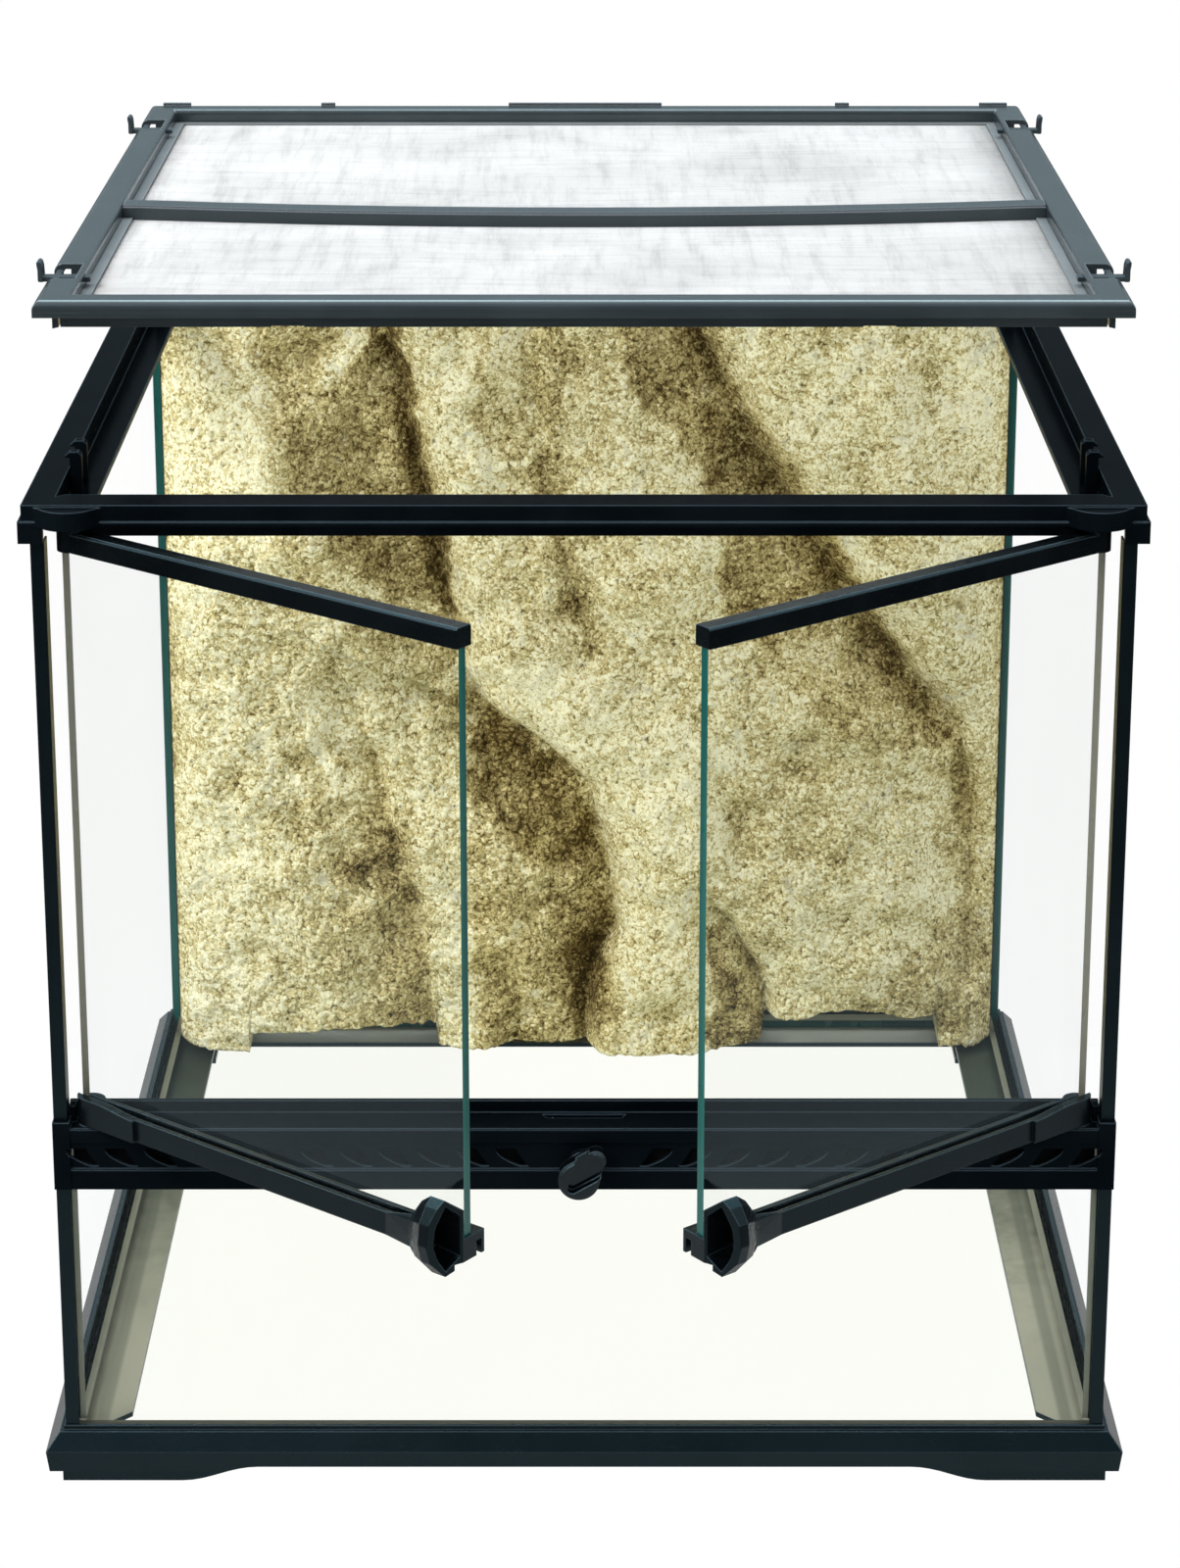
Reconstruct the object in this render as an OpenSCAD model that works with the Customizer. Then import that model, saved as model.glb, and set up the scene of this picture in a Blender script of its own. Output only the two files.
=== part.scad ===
// Front-opening glass terrarium with a lift-off screen lid.
// Millimetres. Origin: centre of the tank's footprint on the surface it
// stands on. +X right, +Y to the back, +Z up. Doors at -Y.

/* [Tank] */
// Outside width over the side panes
tank_w = 450; // [420:5:500]
// Outside depth over the front and back panes
tank_d = 450; // [420:5:500]
// Height of the rim's top above the table
rim_h = 441; // [400:1:500]
// Thickness of the wall panes
glass_t = 4; // [3:0.5:5]
// Thickness of the floor pane
floor_t = 5; // [4:0.5:6]

/* [Base frame] */
// Height of the lip that stands round the foot of the panes
plinth_h = 23.4; // [22.5:0.1:30]
// How far the plinth flares out past the panes
plinth_flare = 9; // [7:0.5:14]
// Height of the plinth's widest line
flare_h = 14.3; // [13:0.1:16]
// Height of the skirt's lower edge at the corners
skirt_gap = 4.4; // [3:0.1:6]
// Height of the skirt's lower edge between the feet
arch_gap = 6.7; // [5.5:0.1:8]
// Length of each foot's flat
foot_l = 52; // [40:1:70]
// Length of the curve from the foot up to the arch
foot_curve_l = 33; // [20:1:45]
// Width of the ledge under the sides and back of the floor pane
ledge_w = 25; // [15:1:35]
// Width of the ledge under the front of the floor pane
front_ledge_w = 8; // [7:0.5:12]
// Wall thickness of the base moulding
base_wall = 2.4; // [2:0.1:3]

/* [Window and vent bar] */
// Height of the vent bar's lower edge
bar_z = 136.5; // [110:0.5:160]
// Height of the bar from its lower edge to its ledge
bar_h = 28.2; // [26:0.2:34]
// Depth of the bar's ledge behind the tank's front plane
bar_ledge_d = 13.7; // [13:0.1:15]
// How far the bar's face stands in front of the panes
bar_proud = 3; // [2.6:0.1:4]
// Height of the upstand behind the ledge
upstand_h = 5.5; // [4:0.1:8]
// Distance from the bar's middle that the vent slots keep clear
slot_clear = 30; // [24:1:60]
// Distance from one vent slot to the next
slot_pitch = 16.66; // [16:0.01:17]
// Width of a vent slot along the bar
slot_w = 8.6; // [6:0.1:10]
// Height of a vent slot
slot_h = 8; // [6:0.1:9]
// Sideways lean of a vent slot from top to bottom
slot_lean = 5.2; // [2:0.1:6]

/* [Rim] */
// Height of the rim's outer face
rim_face_h = 9; // [8:0.2:12]
// How far the rim stands out past the panes
rim_proud = 3.8; // [3.4:0.1:6]
// Width of the rim's flat top inside the panes
rim_flat_in = 8.9; // [8:0.1:10]
// Width of the lid's seat, from the pane's outer face to its inner edge
seat_in = 21; // [19:0.5:24]
// Depth of the lid's seat below the rim's top
seat_drop = 10.5; // [10:0.1:12]
// Radius of the hinge boss
boss_r = 13; // [11:0.5:14]

/* [Doors] */
// Angle that the doors stand open
door_open = 38; // [0:1:100]
// Distance from the side pane's outer face in to the hinge axis
hinge_side = 15; // [14.5:0.5:20]
// Distance from the tank's front plane back to the hinge axes
hinge_in = 4; // [3.5:0.1:5]
// Thickness of a door rail
rail_t = 8.5; // [8:0.1:9]
// Height of the top rail
top_rail_h = 8.5; // [8:0.5:12]
// Height of the bottom rail
bottom_rail_h = 10; // [9:0.5:12]
// Gap between the two closed doors
door_gap = 1.4; // [1:0.1:3]
// Radius of the hinge pins
pin_r = 2; // [1.5:0.1:2.4]
// How far the pull stands out from the door's middle plane
pull_proud = 20; // [16:0.5:24]

/* [Lock] */
// Height of the lock's axis above the bar's lower edge
lock_rise = 11.5; // [11:0.1:12]
// Angle of the grip from upright
lock_tilt = 38; // [0:1:60]
// Radius of the lock's spindle
spindle_r = 4; // [3:0.1:4.5]
// Length of the grip
grip_l = 25; // [20:0.5:27]
// How far the grip stands out from the bar
grip_proud = 12; // [9:0.5:15]

/* [Lid] */
// How far the lid is lifted above its seat
lid_lift = 76; // [0:1:120]
// Outside width and depth of the lid less than the tank's
lid_inset = 3; // [2.5:0.1:4]
// Width of the lid's rails
lid_rail_w = 14.5; // [13.5:0.1:16]
// Height of the lid's rails
lid_rail_h = 7; // [6.5:0.1:10]
// Place of the crossbar, from the front as a share of the lid's depth
crossbar_at = 0.45; // [0.35:0.01:0.6]
// Width of the crossbar
crossbar_w = 13; // [10:0.5:16]
// Sag of the crossbar at its middle
crossbar_sag = 3.5; // [0:0.1:4]
// Distance of the latches from the lid's front and rear edges
latch_in = 56; // [45:1:80]

/* [Rock wall] */
// Least thickness of the rock wall, at its sides
rock_edge_t = 22; // [16:1:30]
// Greatest thickness of the rock wall
rock_max_t = 62; // [50:1:70]
// Gap between the rock wall's top and the rim's seat
rock_top_gap = 6; // [4:1:20]

/* [Hidden] */
$fn = 48;

// Clearance between pieces that face each other without a fit
fit = 0.3;
// Radial clearance of a pin or spindle that turns
run_fit = 0.05;
// Radial clearance of a pin or spindle that is pressed home
press_fit = 0.02;
// Overshoot of a cutting solid past the face it cuts
cut = 1;

half_w = tank_w / 2;
front = -tank_d / 2;
back = tank_d / 2;
hinge_x = half_w - hinge_side;

// Base frame
pane_foot_z = 12.5;
floor_z = 15.2;
floor_top = floor_z + floor_t;
plinth_lip_t = 1.4;
shoulder_out = 3.4;
shoulder_drop = 2.1;
skirt_taper = 1.2;
foot_inset = 7;
foot_wall = 3;

// Vent bar
bar_top = bar_z + bar_h;
bar_wall = 2.4;
deck_t = 2.5;
upstand_t = 2.3;
lower_lip_h = 8.9;
panel_depth = 0.8;
panel_top = bar_z + 21.1;
window_top = bar_z + 4.5;
channel_wall = 2;
bar_half = half_w + 1.3;
end_block_h = 31;
end_block_d = 11;
slot_z = bar_z + 14.6;
slot_taper = 0.6 * slot_w;
slot_first = half_w - 11;
slot_count = floor((slot_first - slot_clear) / slot_pitch) + 1;
mesh_t = 0.4;
mesh_low = window_top + channel_wall + 0.9;
mesh_high = bar_z + 19.3;
mesh_half = half_w - glass_t - 3;
lug_t = 2.8;
lug_d = 5;
lug_h = 7.5;

// Silicone
seam_leg = 2.5;

// Edge trims
trim_wall = 0.9;
trim_depth = 8;

// Rim
hinge_end_r = 5.6;
rim_wall = 2.6;
seat_z = rim_h - seat_drop;
seat_t = 2.4;
pane_top = rim_h - rim_wall - fit;
stop_gap = 0.4;
stop_t = 2.4;
stop_in = hinge_in + hinge_end_r + stop_gap;
stop_h = 17;
leg_drop = 7.3;
leg_l = 17;
boss_top_drop = 1;

// Doors
hinge_y = front + hinge_in;
door_bottom = bar_top + 0.9;
door_top = rim_h - rim_face_h - 3.5;
rail_floor = 2;
door_pane_bottom = door_bottom + rail_floor;
door_pane_top = door_top - rail_floor;
pane_fit = 0.1;
pane_hinge_over = 3;
door_l = hinge_x - door_gap / 2;
end_cap_t = 1;
hinge_block_l = 30;
hinge_block_h = bottom_rail_h + 2;
hinge_cheek = 6;
pad_h = 0.5;
hinge_well = 7;
top_pin_z = door_pane_top + 0.9;
top_pin_l = 9.5;
bottom_pin_z = bar_top - 6.2;
bottom_pin_l = door_pane_bottom - 0.2 - bottom_pin_z;

// Lock
lock_z = bar_z + lock_rise;
knob_bore = grip_proud - 7.2;
cam_t = 2;
cam_front = hinge_y + rail_t / 2 + 0.55;
cam_reach = 20.5;
cam_tip_half = 4;
lip_front = cam_front + cam_t + 0.5;
lip_t = 1.8;
lip_l = 10;
cam_slot_half = 15.8;

// Lid
lid_z = rim_h + fit + lid_lift;
lid_w = tank_w - 2 * lid_inset;
lid_d = tank_d - 2 * lid_inset;
skirt_in = rim_flat_in - lid_inset + 1.2;
skirt_t = 2.2;
front_skirt_in = stop_in + stop_t - lid_inset + 0.6;
skirt_drop = 6;
mesh_seat_w = 5;
mesh_seat_z = -0.6;
mesh_seat_t = 1.6;
screen_t = 0.4;
screen_holes = 12;
screen_bar = 4;
clamp_t = 0.9;
crossbar_y = -lid_d / 2 + crossbar_at * lid_d;
crossbar_half = lid_w / 2 - lid_rail_w;
bow_half = crossbar_half - mesh_seat_w - 1;
latch_y = lid_d / 2 - latch_in;
// low tabs on the rear rail: [middle, length]
rear_tabs = [
    [14 - lid_w / 2, 14], [-lid_w * 0.295, 7], [0, 78],
    [lid_w * 0.295, 7], [lid_w / 2 - 14, 14]
];
notch_l = 28;
notch_in = 12.2;
prong_gap = 9;
prong_t = 4;
prong_w = 5;
prong_h = 18.8;
prong_out = half_w - 9.8;
hook_out = 2;
hook_h = 2.5;
latch_z = 3;
latch_t = 2;
latch_tail_w = 6;
latch_head_w = 23;
latch_travel = 3;

// ---------------------------------------------------------------- helpers

// One closed profile carried round the four sides of a rectangle, mitred at
// its corners. Profile points are [outward offset, height]. Side 0 is the
// front, 1 the right, 2 the back and 3 the left.
module mitred_ring(w, d, pts, sides = [0, 1, 2, 3]) {
    reach = max([for (p = pts) p[0]]) + cut;
    for (s = sides)
        rotate([0, 0, 90 * s])
            mitred_side(s % 2 == 0 ? w : d, s % 2 == 0 ? d : w, pts, reach);
}

module mitred_side(along, across, pts, reach) {
    inner = 60;
    tall = 2 * rim_h;
    intersection() {
        translate([0, -across / 2, 0])
            rotate([90, 0, 90])
                linear_extrude(along + 2 * reach, center = true)
                    polygon([for (p = pts) [-p[0], p[1]]]);
        translate([0, 0, -50])
            linear_extrude(tall)
                polygon([
                    [-along / 2 - reach, -across / 2 - reach],
                    [along / 2 + reach, -across / 2 - reach],
                    [along / 2 - inner, -across / 2 + inner],
                    [-along / 2 + inner, -across / 2 + inner]
                ]);
    }
}

// A box from its low corner to its high corner
module block(low, high) {
    translate(low) cube(high - low);
}

module mirrored_pair() {
    children();
    mirror([1, 0, 0]) children();
}

// Height of a smooth step from 0 to 1 as t goes from 0 to 1
function ease(t) = (1 - cos(180 * t)) / 2;

// Points of an arc from angle a to angle b
function arc(c, r, a, b, n) =
    [for (i = [0:n]) [c[0] + r * cos(a + (b - a) * i / n),
                      c[1] + r * sin(a + (b - a) * i / n)]];

// ------------------------------------------------------------- base frame

function base_profile(ledge) = [
    [plinth_flare - skirt_taper, skirt_gap],
    [plinth_flare, flare_h],
    [shoulder_out, plinth_h - shoulder_drop],
    [fit + plinth_lip_t, plinth_h - shoulder_drop],
    [fit + plinth_lip_t, plinth_h],
    [fit, plinth_h],
    [fit, pane_foot_z],
    [-glass_t - fit, pane_foot_z],
    [-glass_t - fit, floor_z],
    [-ledge, floor_z],
    [-ledge, floor_z - base_wall],
    [-glass_t - fit - base_wall, floor_z - base_wall],
    [-glass_t - fit - base_wall, pane_foot_z - base_wall],
    [fit + base_wall, pane_foot_z - base_wall],
    [fit + base_wall, plinth_h - shoulder_drop - base_wall - 1.4],
    [plinth_flare - base_wall, flare_h - base_wall / 2],
    [plinth_flare - skirt_taper - base_wall, skirt_gap]
];

// Outline of a foot: flat on the table, then a smooth curve up to the arch
function foot_outline(l, curve, rise, top) = concat(
    [[0, top], [0, 0], [l, 0]],
    [for (i = [1:8]) [l + curve * i / 8, rise * ease(i / 8)]],
    [[l + curve, top]]
);

module foot() {
    top = pane_foot_z - base_wall;
    outer_x = -half_w - plinth_flare + foot_inset;
    outer_y = front - plinth_flare + skirt_taper;
    outline = foot_outline(foot_l, foot_curve_l, arch_gap, top);
    translate([outer_x, outer_y + foot_wall, 0])
        rotate([90, 0, 0])
            linear_extrude(foot_wall) polygon(outline);
    translate([outer_x, outer_y, 0])
        rotate([90, 0, 90])
            linear_extrude(foot_wall) polygon(outline);
    block([outer_x, outer_y, 0], [outer_x + foot_l / 2, outer_y + foot_l / 2, foot_wall]);
}

// The skirt's lower edge rises from each foot in the foot's own curve
module arch(half, reach) {
    rise = [for (i = [0:8]) [half + foot_curve_l * (1 - i / 8), arch_gap * ease(i / 8)]];
    rotate([90, 0, 0])
        linear_extrude(2 * reach, center = true)
            polygon(concat(
                [[-half - foot_curve_l, -cut], [half + foot_curve_l, -cut]],
                rise,
                [for (i = [8:-1:0]) [-rise[i][0], rise[i][1]]]
            ));
}

module base_frame() {
    arch_half_x = half_w + plinth_flare - foot_inset - foot_l - foot_curve_l;
    arch_half_y = back + plinth_flare - skirt_taper - foot_l - foot_curve_l;
    color([0.09, 0.11, 0.13]) {
        difference() {
            union() {
                mitred_ring(tank_w, tank_d, base_profile(ledge_w), [1, 2, 3]);
                mitred_ring(tank_w, tank_d, base_profile(front_ledge_w), [0]);
            }
            arch(arch_half_x, back + plinth_flare + cut);
            rotate([0, 0, 90]) arch(arch_half_y, half_w + plinth_flare + cut);
        }
        mirrored_pair() {
            foot();
            mirror([0, 1, 0]) foot();
        }
    }
}

// ------------------------------------------------------------------ panes

module floor_glass() {
    edge = glass_t + fit + 0.1;
    color([0.75, 0.85, 0.8, 0.4])
        block([-half_w + edge, front + edge, floor_z],
              [half_w - edge, back - edge, floor_top]);
}

module back_glass() {
    color([0.75, 0.85, 0.8, 0.4])
        block([-half_w, back - glass_t, pane_foot_z], [half_w, back, pane_top]);
}

module side_pane() {
    color([0.75, 0.85, 0.8, 0.4])
        block([-half_w, front, pane_foot_z],
              [-half_w + glass_t, back - glass_t - 0.2, pane_top]);
}

module left_glass() side_pane();

module right_glass() mirror([1, 0, 0]) side_pane();

module window_glass() {
    inner = half_w - glass_t - 0.2;
    color([0.75, 0.85, 0.8, 0.4])
        block([-inner, front, pane_foot_z], [inner, front + glass_t, window_top]);
}

// Channel that caps the front edge of a side pane, below and above the bar
module edge_trim() {
    spans = [
        [plinth_h + 0.1, bar_z - 0.1],
        [bar_z + end_block_h + 0.1, rim_h - rim_face_h - leg_drop - 0.1]
    ];
    color([0.1, 0.13, 0.16])
        for (s = spans)
            difference() {
                block([-half_w - trim_wall, front - trim_wall, s[0]],
                      [-half_w + glass_t + trim_wall, front + trim_depth, s[1]]);
                block([-half_w - 0.05, front - 0.05, s[0] - cut],
                      [-half_w + glass_t + 0.05, front + trim_depth + cut, s[1] + cut]);
                // the window pane's end lies inside the lower trim
                if (s[0] < bar_z)
                    block([-half_w + glass_t, front - 0.05, s[0] - cut],
                          [-half_w + glass_t + trim_wall + cut, front + glass_t + 0.05,
                           s[1] + cut]);
            }
}

module left_edge_trim() edge_trim();

module right_edge_trim() mirror([1, 0, 0]) edge_trim();

// --------------------------------------------------------------- silicone

// Bead along the foot of the walls, all round the floor pane
module floor_seam() {
    leg = seam_leg;
    color([0.35, 0.36, 0.33])
        mitred_ring(tank_w, tank_d, [
            [-glass_t, floor_top],
            [-glass_t - leg, floor_top],
            [-glass_t - leg * 0.45, floor_top + leg * 0.45],
            [-glass_t, floor_top + leg]
        ]);
}

// Three-sided bead in an upright inside corner, hollowed on its open face
module upright_bead(leg, low, high) {
    translate([0, 0, low])
        linear_extrude(high - low)
            polygon(concat([[0, 0], [leg, 0]], arc([leg, leg], leg, 270, 180, 4)));
}

module corner_seams() {
    leg = seam_leg;
    color([0.12, 0.13, 0.14])
        mirrored_pair()
            translate([-half_w + glass_t, back - glass_t, 0])
                mirror([0, 1, 0])
                    upright_bead(leg, floor_top + leg, seat_z - seat_t - fit);
}

module window_seams() {
    leg = seam_leg;
    color([0.35, 0.36, 0.33])
        mirrored_pair()
            translate([-half_w + glass_t + trim_wall + 0.05, front + glass_t + 0.05, 0])
                upright_bead(leg, floor_top + leg + 1, bar_z - 0.2);
}

// --------------------------------------------------------------- vent bar

function bar_profile() = [
    [bar_proud, bar_z],
    [bar_proud, bar_z + lower_lip_h],
    [bar_proud - panel_depth, bar_z + lower_lip_h + 0.6],
    [bar_proud - panel_depth, panel_top],
    [bar_proud, panel_top + 0.6],
    [bar_proud, bar_top - 0.6],
    [bar_proud - 0.6, bar_top],
    [-bar_ledge_d, bar_top],
    [-bar_ledge_d, bar_top + upstand_h],
    [-bar_ledge_d - upstand_t, bar_top + upstand_h],
    [-bar_ledge_d - upstand_t, bar_top - deck_t],
    [bar_proud - bar_wall, bar_top - deck_t],
    [bar_proud - bar_wall, window_top + fit + channel_wall],
    [-glass_t - fit - channel_wall, window_top + fit + channel_wall],
    [-glass_t - fit - channel_wall, bar_z],
    [-glass_t - fit, bar_z],
    [-glass_t - fit, window_top + fit],
    [fit, window_top + fit],
    [fit, bar_z]
];

// Leaning slot like a fin: a flat top, a swept outer side and a narrow foot
function slot_outline() = concat(
    [for (i = [0:6]) [-slot_w / 2 - slot_lean / 2 + (slot_lean + slot_taper) * pow(i / 6, 2),
                      slot_h / 2 - slot_h * i / 6]],
    [for (i = [6:-1:0]) [slot_w / 2 - slot_lean / 2 + slot_lean * pow(i / 6, 1.3),
                         slot_h / 2 - slot_h * i / 6]]
);

module vent_slots() {
    for (i = [0:slot_count - 1])
        translate([-slot_first + i * slot_pitch, front + cut, slot_z])
            rotate([90, 0, 0])
                linear_extrude(bar_proud + 2 * cut) polygon(slot_outline());
}

module bar_end() {
    // end block that wraps the side pane
    difference() {
        block([-bar_half, front - bar_proud - 0.3, bar_z],
              [-half_w + glass_t + 2, front + end_block_d - bar_proud, bar_z + end_block_h]);
        block([-half_w - fit, front - fit, bar_z - cut],
              [-half_w + glass_t + fit, front + end_block_d + cut,
               bar_z + end_block_h + cut]);
        block([-half_w + glass_t, front - fit, bar_z - cut],
              [-half_w + glass_t + 3, front + end_block_d, window_top + fit]);
    }
    // low lug beside the hinge, clear of the edge trim
    lug = -half_w + glass_t + trim_wall + fit;
    block([lug, hinge_y, bar_top - cut], [lug + lug_t, hinge_y + lug_d, bar_top + lug_h]);
}

module vent_bar() {
    inner = half_w - glass_t - fit;
    color([0.11, 0.14, 0.17])
        difference() {
            union() {
                translate([0, front, 0])
                    rotate([90, 0, 90])
                        linear_extrude(2 * inner, center = true)
                            polygon([for (p = bar_profile()) [-p[0], p[1]]]);
                mirrored_pair() {
                    bar_end();
                    // hinge well under the ledge and the round pad on it
                    translate([-hinge_x, hinge_y, bar_top - hinge_well - 1.6])
                        cylinder(r = hinge_end_r, h = hinge_well + 1.6 + pad_h);
                }
                // bearing for the lock's spindle
                translate([0, front - bar_proud + panel_depth + 0.2, lock_z])
                    rotate([-90, 0, 0])
                        cylinder(r = spindle_r + 2.4, h = 8.4);
            }
            vent_slots();
            mirror([1, 0, 0]) vent_slots();
            mirrored_pair()
                translate([-hinge_x, hinge_y, bottom_pin_z - fit])
                    cylinder(r = pin_r + run_fit, h = 20);
            translate([0, front - bar_proud - cut, lock_z])
                rotate([-90, 0, 0])
                    cylinder(r = spindle_r + run_fit, h = 20);
            // slot in the ledge for the lock's cam, with splayed ends
            translate([0, 0, bar_top - deck_t - cut])
                linear_extrude(deck_t + 2 * cut)
                    polygon([
                        [-cam_slot_half, cam_front - 0.8],
                        [cam_slot_half, cam_front - 0.8],
                        [cam_slot_half + 2, lip_front + 0.3],
                        [-cam_slot_half - 2, lip_front + 0.3]
                    ]);
        }
}

module vent_mesh() {
    color([0.6, 0.62, 0.62])
        difference() {
            block([-mesh_half, front - bar_proud + bar_wall + 0.05, mesh_low],
                  [mesh_half, front - bar_proud + bar_wall + 0.05 + mesh_t, mesh_high]);
            translate([0, front - bar_proud, lock_z])
                rotate([-90, 0, 0])
                    cylinder(r = spindle_r + 2.4 + fit, h = 10);
        }
}

// Snap-in frame that holds the mesh against the bar's inside
module vent_mesh_clip() {
    y0 = front - bar_proud + bar_wall + 0.05 + mesh_t;
    rail = 2;
    color([0.13, 0.15, 0.17])
        difference() {
            block([-mesh_half, y0, mesh_low], [mesh_half, y0 + 1.2, mesh_high]);
            mirrored_pair()
                block([spindle_r + 6, y0 - cut, mesh_low + rail],
                      [mesh_half - rail, y0 + 1.2 + cut, mesh_high - rail]);
            translate([0, front - bar_proud, lock_z])
                rotate([-90, 0, 0])
                    cylinder(r = spindle_r + 2.4 + fit, h = 10);
        }
}

// -------------------------------------------------------------------- rim

function rim_profile() = [
    [rim_proud, rim_h - rim_face_h],
    [rim_proud, rim_h],
    [-rim_flat_in, rim_h],
    [-rim_flat_in, seat_z],
    [-seat_in, seat_z],
    [-seat_in, seat_z - seat_t],
    [-glass_t - fit, seat_z - seat_t],
    [-glass_t - fit, pane_top + fit],
    [fit, pane_top + fit],
    [fit, rim_h - rim_face_h]
];

// The front rail has no pane in it: it is a channel with a stop behind the doors
function front_rail_profile() = [
    [rim_proud + 0.6, rim_h - rim_face_h],
    [rim_proud + 0.6, rim_h - rim_face_h + 1.8],
    [rim_proud, rim_h - rim_face_h + 2.1],
    [rim_proud, rim_h],
    [-stop_in - stop_t, rim_h],
    [-stop_in - stop_t, rim_h - stop_h],
    [-stop_in, rim_h - stop_h],
    [-stop_in, rim_h - rim_wall],
    [rim_proud - rim_wall, rim_h - rim_wall],
    [rim_proud - rim_wall, rim_h - rim_face_h]
];

// Plan of the hinge boss: a round nose with hollow flanks
module boss_plan() {
    flank = 7;
    lift = 0.5;
    face_y = front - rim_proud;
    nose = [0, hinge_y - 3];
    flank_y = face_y - flank + lift;
    // a flank's centre, where its circle just touches the nose's
    flank_x = sqrt(pow(boss_r + flank, 2) - pow(flank_y - nose[1], 2));
    touch = atan2(nose[1] - flank_y, -flank_x);
    leave = 180 - asin((flank - lift) / flank);
    edge = concat(
        arc([flank_x, flank_y], flank, leave, touch, 5),
        arc(nose, boss_r, touch - 180, -90, 6)
    );
    count = len(edge);
    translate([-hinge_x, 0])
        polygon(concat(
            [[edge[0][0], face_y + 1]],
            edge,
            [for (i = [count - 2:-1:0]) [-edge[i][0], edge[i][1]]],
            [[-edge[0][0], face_y + 1]]
        ));
}

// Short leg at each corner of the rim, outside the panes
module rim_leg() {
    low = rim_h - rim_face_h - leg_drop;
    out = rim_proud + 1.6;
    difference() {
        block([-half_w - out, front - rim_proud - 0.4, low],
              [-half_w + glass_t + 0.7, front + leg_l, rim_h - rim_face_h + 2]);
        block([-half_w - fit, front - fit, low - cut],
              [half_w, back, rim_h]);
    }
}

// Pair of hooked prongs on the seat that the lid's latch bolts under
module prong_pair() {
    for (s = [-1, 1])
        translate([-prong_out, latch_y + s * prong_gap + prong_t / 2, seat_z])
            rotate([90, 0, 0])
                linear_extrude(prong_t)
                    polygon([
                        [0, 0], [prong_w, 0], [prong_w, prong_h - 1.4],
                        [prong_w - 1.4, prong_h], [0, prong_h],
                        [-hook_out, prong_h - hook_h + 0.8],
                        [-hook_out, prong_h - hook_h], [0, prong_h - hook_h]
                    ]);
}

module lid_catches() {
    color([0.1, 0.13, 0.16])
        mirrored_pair() {
            prong_pair();
            mirror([0, 1, 0]) prong_pair();
        }
}

module top_frame() {
    color([0.1, 0.13, 0.16])
        difference() {
            union() {
                mitred_ring(tank_w, tank_d, rim_profile(), [1, 2, 3]);
                mitred_ring(tank_w, tank_d, front_rail_profile(), [0]);
                mirrored_pair() {
                    rim_leg();
                    mirror([0, 1, 0]) rim_leg();
                    translate([0, 0, rim_h - rim_face_h])
                        linear_extrude(rim_face_h - boss_top_drop) boss_plan();
                }
            }
            mirrored_pair()
                translate([-hinge_x, hinge_y, rim_h - rim_face_h - cut])
                    cylinder(r = pin_r + run_fit, h = cut + rim_face_h - rim_wall);
        }
}

// -------------------------------------------------------------- rock wall

// Faults of the relief. A gentle slope falls to each line on its left and a
// steep one rises on its right: [depth, left width, right width, points]
rock_faults = [
    [24, 48, 9, [[-106, 425], [-94, 386], [-69, 256], [-56, 206]]],
    [24, 36, 10, [[52, 425], [70, 386], [95, 338], [132, 278], [165, 235],
                  [198, 195], [206, 140], [204, 60]]],
    [26, 38, 6, [[-62, 209], [-21, 188], [2, 165], [13, 114], [16, 86],
                 [2, 58], [0, 20]]],
    [12, 26, 8, [[-120, 205], [-111, 176], [-86, 86], [-83, 30]]],
    [7, 10, 6, [[-34, 425], [-24, 360], [-9, 290], [4, 240]]],
    [20, 13, 5, [[74, 96], [88, 70], [97, 49], [99, 20]]]
];
// Rounded rises: [height, width, one end, the other end]
rock_ridges = [
    [9, 24, [-168, 425], [-160, 340]],
    [9, 24, [-160, 340], [-135, 300]],
    [5, 9, [-163, 200], [-138, 145]],
    [9, 26, [16, 425], [44, 300]],
    [9, 17, [82, 212], [150, 206]],
    [7, 17, [150, 206], [188, 186]],
    [8, 30, [140, 130], [165, 60]],
    [7, 26, [-150, 120], [-140, 50]],
    [6, 22, [150, 400], [175, 290]],
    [7, 20, [48, 190], [40, 60]]
];
rock_swell = 24;
rock_min_t = 12;

function segment_gap(p, a, b) =
    let (run = b - a, t = max(0, min(1, ((p - a) * run) / (run * run))))
    norm(p - a - t * run);

function fault_cut(p, f) =
    let (line = f[3],
         gaps = [for (i = [0:len(line) - 2]) segment_gap(p, line[i], line[i + 1])],
         near = min(gaps),
         i = search(near, gaps)[0],
         steep = cross(line[i + 1] - line[i], p - line[i]) > 0)
    f[0] * exp(-near / (steep ? f[2] : f[1]));

function ridge_rise(p, r) = r[0] * exp(-pow(segment_gap(p, r[2], r[3]) / r[1], 2));

function total(list, i = 0) = i == len(list) ? 0 : list[i] + total(list, i + 1);

function rock_depth(x, z, half) =
    let (p = [x, z],
         side = 1 - exp(-(half - abs(x)) / 14),
         level = rock_swell - total([for (f = rock_faults) fault_cut(p, f)])
                 + total([for (r = rock_ridges) ridge_rise(p, r)]))
    max(rock_min_t, min(rock_max_t, rock_edge_t + side * level));

// Evenly spaced values from a to b, both ends included
function spread(a, b, n) = [for (i = [0:n]) a + (b - a) * i / n];

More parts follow.
